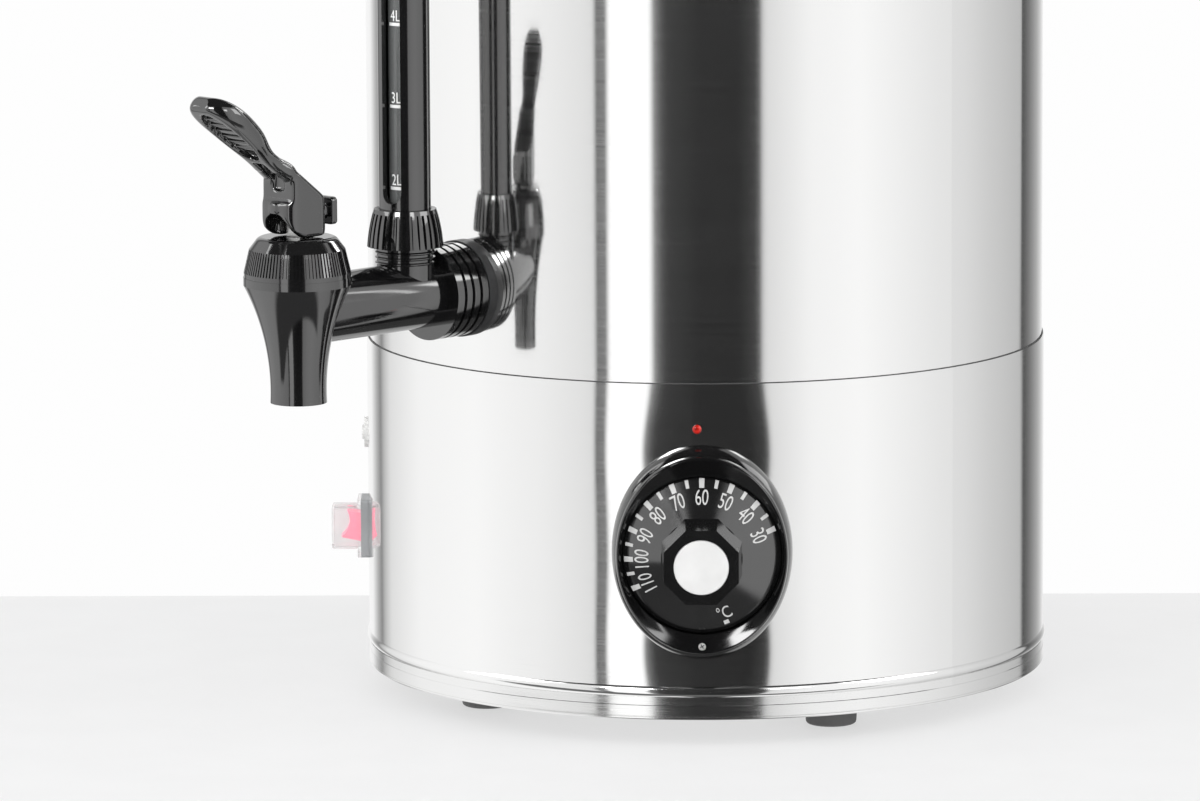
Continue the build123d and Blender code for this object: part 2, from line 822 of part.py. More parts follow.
# Boot: a clear cover over the rocker, with a flange on the frame.
with BuildPart() as switch_boot:
    with BuildSketch(facing(switch_azimuth, switch_height, frame_front)):
        RectangleRounded(frame_width, frame_tall, frame_edge)
    extrude(amount=boot_flange)
    with BuildSketch(facing(switch_azimuth, switch_height, frame_front)):
        RectangleRounded(boot_width, boot_tall, boot_edge)
    extrude(amount=boot_front - frame_front)
    boot_middle = facing(switch_azimuth, switch_height, boot_front).origin
    fillet(switch_boot.faces().sort_by_distance(boot_middle)[0].edges(), boot_wall)
    with BuildSketch(facing(switch_azimuth, switch_height, frame_front)):
        RectangleRounded(boot_width - 2 * boot_wall, boot_tall - 2 * boot_wall, boot_edge - boot_wall)
    extrude(amount=boot_front - frame_front - boot_wall, mode=Mode.SUBTRACT)

# Cut-out: the boil-dry limiter behind the wall, its flanged bush and its reset button.
with BuildPart() as cutout_body:
    with BuildSketch(facing(switch_azimuth, reset_height, base_bore - cutout_depth)):
        Circle(cutout_radius)
    extrude(amount=cutout_depth + overrun)
    with BuildSketch(Plane.XY.offset(foot_height)):
        Circle(base_bore)
    extrude(amount=base_height, mode=Mode.INTERSECT)
    with BuildSketch(facing(switch_azimuth, reset_height, base_bore - cutout_depth)):
        Circle(reset_bush)
    extrude(amount=base_radius - base_bore + cutout_depth)
    with BuildSketch(facing(switch_azimuth, reset_height, base_bore - cutout_depth / 2)):
        Circle(reset_button_radius + slip)
    extrude(amount=cutout_depth, mode=Mode.SUBTRACT)

with BuildPart() as reset_collar:
    with BuildSketch(facing(switch_azimuth, reset_height, base_radius)):
        Circle(reset_flange)
        Circle(reset_button_radius + slip, mode=Mode.SUBTRACT)
    extrude(amount=reset_flange_proud)
    with BuildSketch(facing(switch_azimuth, reset_height, base_radius - reset_flange_proud)):
        Circle(reset_flange)
        Circle(reset_bush, mode=Mode.SUBTRACT)
    extrude(amount=reset_flange_proud)
    with BuildSketch(Plane.XY.offset(foot_height)):
        Circle(base_radius)
    extrude(amount=base_height, mode=Mode.SUBTRACT)

with BuildPart() as reset_button:
    button_foot = base_bore - cutout_depth / 2 + reset_travel + part_gap
    button_front = base_radius + reset_flange_proud + reset_proud
    with BuildSketch(facing(switch_azimuth, reset_height, button_foot)):
        Circle(reset_button_radius)
    extrude(amount=button_front - button_foot)
    button_middle = facing(switch_azimuth, reset_height, button_front).origin
    fillet(reset_button.faces().sort_by_distance(button_middle)[0].edges(), reset_proud / 2)

# Cable entry: a gland at the back, its nut inside, and the terminal block on the pan.
with BuildPart() as cable_gland:
    with BuildSketch(facing(180, gland_height, base_radius - gland_flange)):
        RegularPolygon(gland_flats / 2, 6, major_radius=False)
    extrude(amount=2 * gland_flange)
    with BuildSketch(Plane.XY.offset(foot_height)):
        Circle(base_radius)
    extrude(amount=base_height, mode=Mode.SUBTRACT)
    with BuildSketch(facing(180, gland_height, base_radius + gland_flange)):
        Circle(gland_flats / 2)
    extrude(amount=gland_dome, taper=gland_draft)
    with BuildSketch(facing(180, gland_height, base_radius)):
        Circle(gland_thread)
    extrude(amount=-gland_length)
    with BuildSketch(facing(180, gland_height, 0)):
        Circle(gland_bore)
    extrude(amount=base_radius + gland_flange + gland_dome + overrun, mode=Mode.SUBTRACT)

with BuildPart() as gland_nut:
    with BuildSketch(facing(180, gland_height, base_bore - 2 * gland_nut_height)):
        RegularPolygon(gland_nut_flats / 2, 6, major_radius=False)
    extrude(amount=3 * gland_nut_height)
    with BuildSketch(Plane.XY.offset(foot_height)):
        Circle(base_bore)
    extrude(amount=base_height, mode=Mode.INTERSECT)
    with BuildSketch(facing(180, gland_height, 0)):
        Circle(gland_thread)
    extrude(amount=base_radius, mode=Mode.SUBTRACT)

with BuildPart() as terminal_block:
    with BuildSketch(Plane.XY.offset(foot_height + sheet)):
        with Locations((0, block_reach)):
            Rectangle(block_length, block_width)
    extrude(amount=block_height)
    with BuildSketch(Plane.XY.offset(foot_height + sheet + block_height)):
        with Locations((0, block_reach)):
            with GridLocations(block_length / block_poles, block_width / 2, block_poles, 2):
                Circle(block_pole)
    extrude(amount=-block_height / 2, mode=Mode.SUBTRACT)

# Tap tee: grooved collar, run and gauge branch, with a threaded spigot through both walls.
with BuildPart() as tap_tee:
    with BuildSketch(tap_side):
        with BuildLine():
            groove_step = collar_length / (collar_grooves + 1)
            outline = [(vessel_face - spigot_length, tap_height)]
            outline += [(vessel_face - spigot_length, tap_height + spigot_radius)]
            outline += [(wall_face, tap_height + spigot_radius), (wall_face, tap_height + collar_radius)]
            for groove in range(1, collar_grooves + 1):
                start = wall_face + groove * groove_step - collar_groove / 2
                outline += [(start, tap_height + collar_radius)]
                outline += [(start, tap_height + collar_radius - collar_groove_deep)]
                outline += [(start + collar_groove, tap_height + collar_radius - collar_groove_deep)]
                outline += [(start + collar_groove, tap_height + collar_radius)]
            outline += [(collar_face, tap_height + collar_radius), (collar_face, tap_height + pipe_radius)]
            outline += [(tee_face, tap_height + pipe_radius), (tee_face, tap_height)]
            Polyline(*outline, close=True)
        make_face()
    revolve(axis=pipe_axis)
    with BuildSketch(Plane(origin=(0, -gauge_axis_reach, tap_height))):
        Circle(branch_radius)
    extrude(amount=branch_rise)
    with BuildSketch(facing(0, tap_height, vessel_face - spigot_length)):
        Circle(pipe_bore)
    extrude(amount=tee_face - vessel_face + spigot_length, mode=Mode.SUBTRACT)
    with BuildSketch(facing(0, tap_height, tee_face)):
        Circle(socket_radius + slip)
    extrude(amount=-socket_depth, mode=Mode.SUBTRACT)
    with BuildSketch(Plane(origin=(0, -gauge_axis_reach, tap_height))):
        Circle(tube_bore)
    extrude(amount=branch_rise, mode=Mode.SUBTRACT)
    with BuildSketch(Plane(origin=(0, -gauge_axis_reach, branch_top))):
        Circle(tube_radius + slip)
    extrude(amount=-tube_foot, mode=Mode.SUBTRACT)

with BuildPart() as outer_seal:
    with BuildSketch(facing(0, tap_height, body_radius - seal_thick)):
        Circle(seal_radius)
        Circle(spigot_radius, mode=Mode.SUBTRACT)
    extrude(amount=2 * seal_thick)
    with BuildSketch(Plane.XY.offset(seam_height)):
        Circle(body_radius)
    extrude(amount=2 * tap_rise, mode=Mode.SUBTRACT)

with BuildPart() as wall_spacer:
    with BuildSketch(facing(0, tap_height, vessel_radius)):
        Circle(spigot_radius + spacer_wall)
        Circle(spigot_radius, mode=Mode.SUBTRACT)
    extrude(amount=body_radius - vessel_radius)
    with BuildSketch(Plane.XY.offset(seam_height)):
        Circle(shell_bore)
        Circle(vessel_outside, mode=Mode.SUBTRACT)
    extrude(amount=2 * tap_rise, mode=Mode.INTERSECT)

with BuildPart() as inner_seal:
    with BuildSketch(facing(0, tap_height, vessel_face)):
        Circle(inner_seal_radius)
        Circle(spigot_radius, mode=Mode.SUBTRACT)
    extrude(amount=inner_seal_thick)
    with BuildSketch(Plane.XY.offset(seam_height)):
        Circle(vessel_radius)
    extrude(amount=2 * tap_rise, mode=Mode.INTERSECT)

with BuildPart() as lock_nut:
    with BuildSketch(facing(0, tap_height, vessel_face)):
        Circle(nut_radius)
        with PolarLocations(nut_radius + nut_flute_radius / 2, nut_flutes):
            Circle(nut_flute_radius, mode=Mode.SUBTRACT)
        Circle(spigot_radius, mode=Mode.SUBTRACT)
    extrude(amount=-nut_thick)

# Tap body: a trumpet-shaped spout on a horizontal shank, with the valve chamber and seat inside.
with BuildPart() as tap_body:
    with BuildSketch(upright(tap_axis_reach)):
        with BuildLine():
            flange_under = bonnet_seat - flange_drop
            Spline(
                (flange_radius, flange_under),
                (shoulder_radius, tap_height),
                (waist_radius, tap_height - waist_drop),
                (spout_radius, spout_bottom),
            )
            Polyline(
                (spout_radius, spout_bottom),
                (0, spout_bottom),
                (0, bonnet_seat),
                (flange_radius, bonnet_seat),
                (flange_radius, flange_under),
            )
        make_face()
    revolve(axis=tap_axis)
    with BuildSketch(facing(0, tap_height, tee_face)):
        Circle(pipe_radius)
    extrude(amount=tap_axis_reach - tee_face)
    with BuildSketch(facing(0, tap_height, tee_face)):
        Circle(socket_radius)
    extrude(amount=slip - socket_depth)
    with BuildSketch(upright(tap_axis_reach)):
        with BuildLine():
            Polyline(
                (0, spout_bottom),
                (spout_bore, spout_bottom),
                (spout_bore, seat_height),
                (seat_radius, seat_height),
                (chamber_radius, tap_height),
                (chamber_radius, bonnet_seat),
                (0, bonnet_seat),
                close=True,
            )
        make_face()
    revolve(axis=tap_axis, mode=Mode.SUBTRACT)
    with BuildSketch(facing(0, tap_height, tee_face - socket_depth)):
        Circle(pipe_bore)
    extrude(amount=tap_axis_reach - tee_face + socket_depth, mode=Mode.SUBTRACT)

# Bonnet: a coned cap with a ribbed grip band and a domed crown.
with BuildPart() as tap_bonnet:
    with BuildSketch(upright(tap_axis_reach)) as bonnet_profile:
        with BuildLine():
            Polyline(
                (0, bonnet_seat),
                (ledge_radius, bonnet_seat),
                (ledge_radius, bonnet_seat + ledge_height),
                (rib_top_radius, bonnet_seat + ledge_height + rib_band),
                (crown_radius, bonnet_top),
                (0, bonnet_top),
                close=True,
            )
        make_face()
        fillet(bonnet_profile.vertices().sort_by_distance((crown_radius, bonnet_top))[0], crown_round)
    revolve(axis=tap_axis)
    with BuildSketch(Plane(origin=(0, -tap_axis_reach, bonnet_seat))):
        Circle(chamber_radius - slip)
    extrude(amount=-bonnet_spigot)
    rib_foot = (ledge_radius, bonnet_seat + ledge_height)
    rib_head = (rib_top_radius, bonnet_seat + ledge_height + rib_band)
    with BuildSketch(*flanks(tap_axis_reach, rib_foot, rib_head, rib_count)):
        Rectangle(pi * rib_top_radius / rib_count, 2 * rib_deep)
    extrude(amount=hypot(rib_band, ledge_radius - rib_top_radius), mode=Mode.SUBTRACT)
    with BuildSketch(upright(tap_axis_reach)):
        with BuildLine():
            Polyline(
                (0, bonnet_seat - bonnet_spigot),
                (bonnet_bore, bonnet_seat - bonnet_spigot),
                (bonnet_bore, roof_under),
                (0, roof_under),
                close=True,
            )
        make_face()
    revolve(axis=tap_axis, mode=Mode.SUBTRACT)
    with BuildSketch(Plane(origin=(0, -tap_axis_reach, roof_under))):
        Circle(stem_radius + run_fit)
    extrude(amount=bonnet_roof, mode=Mode.SUBTRACT)

# Valve: a silicone cup on a stem, pushed on its seat by a spring under the bonnet's roof.
cup_foot = seat_height + slip
cup_top = cup_foot + cup_height
with BuildPart() as valve_cup:
    with BuildSketch(upright(tap_axis_reach)):
        with BuildLine():
            Polyline(
                (0, cup_foot),
                (cup_radius, cup_foot),
                (cup_radius, cup_foot + cup_lip),
                (cup_waist, cup_foot + 2 * cup_lip),
                (cup_waist, cup_top),
                (stem_radius, cup_top),
                (stem_radius, cup_top - stem_bite),
                (0, cup_top - stem_bite),
                close=True,
            )
        make_face()
    revolve(axis=tap_axis)

tongue_foot = bonnet_top - stem_flat_drop
with BuildPart() as valve_stem:
    with BuildSketch(tap_side):
        with Locations((pivot_reach, (tongue_foot + pivot_height) / 2)):
            Rectangle(2 * tongue_half, pivot_height - tongue_foot)
        with Locations((pivot_reach, pivot_height)):
            Circle(tongue_half)
            Circle(pin_radius, mode=Mode.SUBTRACT)
    extrude(amount=stem_flats / 2, both=True)
    with BuildSketch(Plane(origin=(0, -tap_axis_reach, tongue_foot))):
        Circle(stem_radius)
    extrude(amount=pivot_height + tongue_half - tongue_foot, mode=Mode.INTERSECT)
    with BuildSketch(Plane(origin=(0, -tap_axis_reach, cup_top - stem_bite))):
        Circle(stem_radius)
    extrude(amount=tongue_foot - cup_top + stem_bite)

with BuildPart() as lever_pin:
    with BuildSketch(tap_side):
        with Locations((pivot_reach, pivot_height)):
            Circle(pin_radius)
    extrude(amount=pin_length / 2, both=True)

spring_foot = cup_top + spring_wire
spring_rise = roof_under - cup_top - 2 * spring_wire
quarter_count = 4 * spring_turns
spring_points = [
    Vector(spring_radius, 0, spring_rise * step / (2 * quarter_count)).rotate(Axis.Z, 45 * step)
    + Vector(0, -tap_axis_reach, spring_foot)
    for step in range(2 * quarter_count + 1)
]
with BuildPart() as stem_spring:
    with BuildLine() as spring_path:
        for quarter in range(quarter_count):
            ThreePointArc(*spring_points[2 * quarter : 2 * quarter + 3])
    with BuildSketch(Plane(origin=spring_path.wire() @ 0, z_dir=spring_path.wire() % 0)):
        RegularPolygon(spring_wire, spring_sides)
    sweep(path=spring_path.wire())

# Lever: a forked cam block on the stem's pin, with a ribbed thumb pad on a slanted arm.
lean = radians(arm_angle)
arm_out = Vector(0, -cos(lean), sin(lean))
arm_root = Vector(0, -lever_front, block_top)
arm_plane = Plane(origin=arm_root, x_dir=arm_out, z_dir=(0, sin(lean), cos(lean)))
arm_back = (lever_front - neck_thick * sin(lean), block_top + neck_thick * cos(lean))
with BuildPart() as tap_lever:
    with BuildSketch(tap_side) as lever_profile:
        with BuildLine():
            cam = CenterArc((nose_reach, lever_foot + cam_radius), cam_radius, -90, cam_sweep)
            ThreePointArc(
                cam @ 1,
                (lever_front + brow_out / 2, lever_foot + brow_rise / 2),
                (brow_front, lever_foot + brow_rise),
            )
            Polyline(
                (brow_front, lever_foot + brow_rise),
                (brow_front, lever_foot + brow_top),
                (lever_front, lever_foot + ledge_rise),
                (lever_front, block_top),
                arm_back,
                (lever_rear, arm_back[1] - (arm_back[0] - lever_rear) * tan(lean)),
                (lever_rear, lever_foot),
                (nose_reach, lever_foot),
            )
        make_face()
        fillet(lever_profile.vertices().sort_by_distance((lever_rear, lever_foot))[0], cam_radius / 2)
    extrude(amount=lever_width / 2, both=True)
    with BuildSketch(Plane.XY.offset(lever_foot)):
        with Locations((0, -(brow_front + lever_rear) / 2)):
            RectangleRounded(lever_width, brow_front - lever_rear, lever_round)
    extrude(amount=arm_back[1] - lever_foot, mode=Mode.INTERSECT)
    slope_middle = Vector(0, -(arm_back[0] + lever_rear) / 2, lever_foot + lever_block)
    slope = tap_lever.faces().sort_by_distance(slope_middle)[0]
    fillet(slope.edges().sort_by(Axis.Y)[1:], lever_edge)
    for station, width, thick in zip(arm_station_shares, arm_width_shares, arm_thick_shares):
        station_middle = arm_root + arm_out * (arm_length * station)
        with BuildSketch(Plane(origin=station_middle, x_dir=(1, 0, 0), z_dir=arm_out)):
            with Locations((0, slip + pad_thick * thick / 2)):
                RectangleRounded(pad_width * width, pad_thick * thick, pad_thick * thick * arm_edge_share)
    loft()
    fillet(tap_lever.faces().sort_by(Axis(arm_root, arm_out))[-1].edges(), arm_tip)
    tail_front = lever_rear - tail_gap
    tail_middle = lever_foot + tail_rise + tail_height / 2
    with BuildSketch(facing(0, tail_middle, tail_front)):
        RectangleRounded(tail_width, tail_height, tail_round)
    extrude(amount=-tail_thick)
    with BuildSketch(facing(0, tail_middle, tail_front - tail_thick / 2)):
        Rectangle(tail_width / 2, tail_stub)
    extrude(amount=tail_gap + tail_thick)
    with BuildSketch(facing(0, lever_foot + boss_foot, brow_front + boss_out)):
        with Locations((0, boss_tall - boss_width / 2)):
            Circle(boss_width / 2)
        with Locations((0, (boss_tall - boss_width / 2) / 2)):
            Rectangle(boss_width, boss_tall - boss_width / 2)
    extrude(amount=-boss_out - brow_out)
    with BuildSketch(arm_plane):
        with Locations((arm_length * pocket_place_share, 0)):
            Ellipse(pocket_length / 2, pocket_width / 2)
    extrude(amount=pocket_deep, mode=Mode.SUBTRACT)
    with BuildSketch(arm_plane.offset(pocket_deep)):
        with Locations((arm_length * pocket_place_share, 0)):
            with GridLocations(pad_rib_pitch, 0, pad_ribs, 1):
                Rectangle(pad_rib, pocket_width)
            Ellipse(pocket_length / 2, pocket_width / 2, mode=Mode.INTERSECT)
    extrude(amount=-pad_rib_deep)
    with BuildSketch(arm_plane):
        with Locations((arm_length * channel_length_share / 2, 0)):
            Rectangle(arm_length * channel_length_share, channel_width)
    extrude(amount=channel_deep, mode=Mode.SUBTRACT)
    with BuildSketch(facing(0, block_top, lever_front)):
        Rectangle(channel_width, 2 * notch_drop)
    extrude(amount=-notch_deep, mode=Mode.SUBTRACT)
    with BuildSketch(facing(0, lever_foot + arch_rise, brow_front)):
        Circle(arch_radius)
        with Locations((0, -arch_radius / 2)):
            Rectangle(2 * arch_radius, arch_radius)
    extrude(amount=-arch_deep, mode=Mode.SUBTRACT)
    with BuildSketch(tap_side):
        with BuildLine():
            Polyline(
                (pivot_reach - slot_half, lever_foot - overrun),
                (pivot_reach + slot_splay, lever_foot - overrun),
                (pivot_reach + slot_half, pivot_height + tongue_half),
                (pivot_reach + slot_half, pivot_height + slot_half),
                (pivot_reach - slot_half, pivot_height + slot_half),
                close=True,
            )
        make_face()
    extrude(amount=stem_flats / 2 + part_gap, both=True, mode=Mode.SUBTRACT)
    with BuildSketch(tap_side):
        with Locations((pivot_reach, pivot_height)):
            Circle(pin_radius + run_fit)
    extrude(amount=lever_width, mode=Mode.SUBTRACT)
    with BuildSketch(tap_side):
        with Locations((pivot_reach, pivot_height)):
            Circle(pin_radius + run_fit)
    extrude(amount=-pin_length / 2 - slip, mode=Mode.SUBTRACT)

# Sight gauge: a clear tube in a slotted black sleeve, sealed on the branch and in the head.
with BuildPart() as gauge_seal:
    with BuildSketch(Plane(origin=(0, -gauge_axis_reach, branch_top))):
        Circle(branch_radius - slip)
        Circle(tube_radius, mode=Mode.SUBTRACT)
    extrude(amount=gauge_seal_height)

with BuildPart() as gauge_tube:
    with BuildSketch(Plane(origin=(0, -gauge_axis_reach, branch_top - tube_foot))):
        Circle(tube_radius)
        Circle(tube_bore, mode=Mode.SUBTRACT)
    extrude(amount=head_height - branch_top + tube_foot)

with BuildPart() as gauge_sleeve:
    with BuildSketch(Plane(origin=(0, -gauge_axis_reach, sleeve_foot))):
        Circle(sleeve_radius)
        Circle(sleeve_bore, mode=Mode.SUBTRACT)
    extrude(amount=sleeve_top - sleeve_foot)
    slot_low = gauge_nut_foot + gauge_nut_height + slot_foot
    slot_high = head_height - head_socket_drop - slot_head
    slot_middle = (slot_low + slot_high) / 2
    slot_side = facing(slot_turn, slot_middle, 0)
    slot_origin = (0, -gauge_axis_reach, slot_middle)
    with BuildSketch(Plane(origin=slot_origin, x_dir=slot_side.x_dir, z_dir=slot_side.z_dir)):
        SlotOverall(slot_high - slot_low, slot_width, rotation=90)
    extrude(amount=2 * sleeve_radius, mode=Mode.SUBTRACT)

with BuildPart() as gauge_nut:
    with BuildSketch(upright(gauge_axis_reach)):
        with BuildLine():
            nut_head = gauge_nut_foot + gauge_nut_height
            Polyline(
                (gauge_nut_neck, nut_head),
                (sleeve_radius + slip, nut_head),
                (sleeve_radius + slip, nut_head - gauge_nut_roof),
                (branch_radius + slip, nut_head - gauge_nut_roof),
                (branch_radius + slip, gauge_nut_foot),
                (gauge_nut_radius, gauge_nut_foot),
            )
            ThreePointArc(
                (gauge_nut_radius, gauge_nut_foot),
                ((gauge_nut_radius * 2 + gauge_nut_neck) / 3, gauge_nut_foot + gauge_nut_height / 2),
                (gauge_nut_neck, nut_head),
            )
        make_face()
    revolve(axis=gauge_axis)
    flute_foot = (gauge_nut_radius, gauge_nut_foot)
    flute_head = (gauge_nut_neck, nut_head)
    with BuildSketch(*flanks(gauge_axis_reach, flute_foot, flute_head, gauge_nut_flutes)):
        Rectangle(pi * gauge_nut_neck / gauge_nut_flutes, 2 * gauge_nut_flute_depth)
    extrude(amount=gauge_nut_height - gauge_nut_roof / 2, mode=Mode.SUBTRACT)

# Gauge head: a moulded elbow near the rim that holds the tube's top and vents it into the jacket.
with BuildPart() as gauge_head:
    with BuildSketch(upright(gauge_axis_reach)) as head_profile:
        with BuildLine():
            Polyline(
                (0, head_height - head_socket_drop),
                (head_socket, head_height - head_socket_drop),
                (head_socket, head_height + head_stub),
                (head_socket / 2, head_height + head_stub + head_dome / 2),
                (0, head_height + head_stub + head_dome / 2),
                close=True,
            )
        make_face()
        head_shoulder = head_profile.vertices().sort_by_distance((head_socket, head_height + head_stub))[0]
        fillet(head_shoulder, head_dome / 4)
    revolve(axis=gauge_axis)
    with BuildSketch(facing(0, head_height, body_radius - head_flange_thick)):
        Circle(head_flange)
    extrude(amount=2 * head_flange_thick)
    with BuildSketch(facing(0, head_height, body_radius)):
        Circle(head_stub)
    extrude(amount=gauge_reach)
    with BuildSketch(Plane.XY.offset(head_height - head_flange - overrun)):
        Circle(body_radius)
    extrude(amount=2 * head_flange + 2 * overrun, mode=Mode.SUBTRACT)
    with BuildSketch(facing(0, head_height, shell_bore - head_nut_thick - head_stub_end)):
        Circle(head_stub)
    extrude(amount=sheet + head_nut_thick + 2 * head_stub_end)
    with BuildSketch(Plane(origin=(0, -gauge_axis_reach, head_height - head_socket_drop))):
        Circle(sleeve_radius + slip)
    extrude(amount=sleeve_top - head_height + head_socket_drop, mode=Mode.SUBTRACT)
    with BuildSketch(Plane(origin=(0, -gauge_axis_reach, head_height - head_socket_drop))):
        Circle(tube_radius + slip)
    extrude(amount=head_socket_drop, mode=Mode.SUBTRACT)
    with BuildSketch(facing(0, head_height, vessel_outside)):
        Circle(tube_bore)
    extrude(amount=gauge_axis_reach - vessel_outside, mode=Mode.SUBTRACT)

with BuildPart() as head_nut:
    with BuildSketch(facing(0, head_height, shell_bore - head_nut_thick)):
        RegularPolygon(head_nut_flats / 2, 6, major_radius=False)
    extrude(amount=head_nut_thick)
    with BuildSketch(Plane.XY.offset(head_height - head_nut_flats)):
        Circle(shell_bore)
    extrude(amount=2 * head_nut_flats, mode=Mode.INTERSECT)
    with BuildSketch(facing(0, head_height, vessel_outside)):
        Circle(head_stub)
    extrude(amount=body_radius, mode=Mode.SUBTRACT)

# Side handles: moulded bows whose legs saddle the wall, each held by two screws from inside.
handles = {}
for name, side in (("side_handle_right", 1), ("side_handle_left", -1)):
    handle_plan = Plane(origin=(0, 0, handle_height), x_dir=(0, -side, 0), z_dir=(0, 0, 1))
    with BuildPart() as handle:
        with BuildSketch(handle_plan) as bow:
            with Locations((0, handle_out / 2)):
                Rectangle(handle_span, handle_out)
            fillet(bow.vertices().group_by(Axis.Y)[-1], handle_outer_corner)
        extrude(amount=handle_tall / 2, both=True)
        with BuildSketch(handle_plan) as gap:
            with Locations((0, (handle_out - handle_bar) / 2)):
                Rectangle(handle_span - 2 * handle_leg, handle_out - handle_bar)
            fillet(gap.vertices().group_by(Axis.Y)[-1], handle_inner_corner)
        extrude(amount=handle_tall / 2, both=True, mode=Mode.SUBTRACT)
        fillet(handle.faces().sort_by(Axis.Z)[-1].edges(), handle_edge)
        fillet(handle.faces().sort_by(Axis.Z)[0].edges(), handle_edge)
        with BuildSketch(Plane.XY.offset(handle_height - handle_tall)):
            Circle(body_radius)
        extrude(amount=2 * handle_tall, mode=Mode.SUBTRACT)
        for turn in (leg_turn, -leg_turn):
            with BuildSketch(facing(side * handle_azimuth + turn, handle_height, 0)):
                Circle(handle_screw_radius)
            extrude(amount=body_radius + handle_screw_grip, mode=Mode.SUBTRACT)
    handles[name] = handle

with BuildPart() as handle_screws:
    for side in (handle_azimuth, -handle_azimuth):
        for turn in (leg_turn, -leg_turn):
            with BuildSketch(facing(side + turn, handle_height, shell_bore - handle_screw_head)):
                Circle(handle_screw_head_radius)
            extrude(amount=handle_screw_head)
    with BuildSketch(Plane.XY.offset(handle_height - handle_tall)):
        Circle(shell_bore)
    extrude(amount=2 * handle_tall, mode=Mode.INTERSECT)
    for side in (handle_azimuth, -handle_azimuth):
        for turn in (leg_turn, -leg_turn):
            with BuildSketch(facing(side + turn, handle_height, shell_bore - handle_screw_head)):
                Circle(handle_screw_radius)
            extrude(amount=handle_screw_head + sheet + handle_screw_grip)

# Lid: a pressed dome with a channel that drops inside the vessel's mouth, and a turned knob.
with BuildPart() as lid:
    with BuildSketch(Plane.XZ):
        with BuildLine():
            halfway = (lid_inner / 2, dome_top - dome_drop(lid_inner, dome_rise, lid_inner / 2))
            ThreePointArc((0, dome_top), halfway, (lid_inner, dome_foot))
            FilletPolyline(
                (lid_inner, dome_foot),
                (lid_wall, dome_foot),
                (lid_wall, lid_under + lid_sheet),
                (lid_edge, lid_under + lid_sheet),
                radius=(lid_corner, lid_corner),
            )
            offset(amount=lid_sheet, side=Side.RIGHT)
        make_face()
    revolve(axis=Axis.Z)
    with BuildSketch(Plane.XY.offset(dome_top - lid_channel)):
        Circle(screw_radius + slip)
    extrude(amount=2 * lid_channel, mode=Mode.SUBTRACT)

with BuildPart() as lid_knob:
    with BuildSketch(Plane.XZ):
        with BuildLine():
            brim_top = dome_top + knob_height - knob_crown
            Polyline(
                (0, dome_top + knob_height),
                (0, dome_top),
                (knob_foot_radius, dome_top),
                (knob_foot_radius, dome_top + knob_foot),
            )
            ThreePointArc(
                (knob_foot_radius, dome_top + knob_foot),
                (knob_neck_radius, dome_top + knob_neck),
                (knob_radius, brim_top - knob_brim / 2),
            )
            Polyline((knob_radius, brim_top - knob_brim / 2), (knob_radius, brim_top))
            knob_top = dome_top + knob_height
            halfway = (knob_radius / 2, knob_top - dome_drop(knob_radius, knob_crown, knob_radius / 2))
            ThreePointArc((knob_radius, brim_top), halfway, (0, knob_top))
        make_face()
    revolve(axis=Axis.Z)
    with BuildSketch(Plane.XY.offset(dome_top)):
        Circle(screw_radius)
    extrude(amount=knob_screw_depth, mode=Mode.SUBTRACT)

with BuildPart() as knob_screw:
    with BuildSketch(Plane.XY.offset(dome_top - lid_sheet - slip - screw_head)):
        Circle(screw_head_radius)
    extrude(amount=screw_head)
    with BuildSketch(Plane.XY.offset(dome_top - lid_sheet - slip)):
        Circle(screw_radius)
    extrude(amount=lid_sheet + slip + knob_screw_depth)

pieces = {
    "outer_shell": outer_shell,
    "base_shell": base_shell,
    "base_pan": base_pan,
    "feet": feet,
    "foot_screws": foot_screws,
    "tie_rod": tie_rod,
    "tie_nut": tie_nut,
    "inner_vessel": inner_vessel,
    "vessel_base": vessel_base,
    "heater_plate": heater_plate,
    "heating_element": heating_element,
    "thermostat_body": thermostat_body,
    "thermostat_bulb": thermostat_bulb,
    "thermostat_bezel": thermostat_bezel,
    "bezel_screw": bezel_screw,
    "thermostat_dial": thermostat_dial,
    "dial_cap": dial_cap,
    "thermostat_spindle": thermostat_spindle,
    "pilot_lens": pilot_lens,
    "pilot_holder": pilot_holder,
    "switch_frame": switch_frame,
    "rocker": rocker,
    "switch_boot": switch_boot,
    "cutout_body": cutout_body,
    "reset_collar": reset_collar,
    "reset_button": reset_button,
    "cable_gland": cable_gland,
    "gland_nut": gland_nut,
    "terminal_block": terminal_block,
    "tap_tee": tap_tee,
    "outer_seal": outer_seal,
    "wall_spacer": wall_spacer,
    "inner_seal": inner_seal,
    "lock_nut": lock_nut,
    "tap_body": tap_body,
    "tap_bonnet": tap_bonnet,
    "valve_cup": valve_cup,
    "valve_stem": valve_stem,
    "stem_spring": stem_spring,
    "lever_pin": lever_pin,
    "tap_lever": tap_lever,
    "gauge_seal": gauge_seal,
    "gauge_tube": gauge_tube,
    "gauge_sleeve": gauge_sleeve,
    "gauge_nut": gauge_nut,
    "gauge_head": gauge_head,
    "head_nut": head_nut,
    **handles,
    "handle_screws": handle_screws,
    "lid": lid,
    "lid_knob": lid_knob,
    "knob_screw": knob_screw,
}
os.makedirs("parts", exist_ok=True)
for name, piece in pieces.items():
    piece.part.label = name
    export_step(piece.part, f"parts/{name}.step")
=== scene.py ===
from math import cos, degrees, pi, radians, sin

import bmesh
import bpy
from mathutils import Matrix, Vector


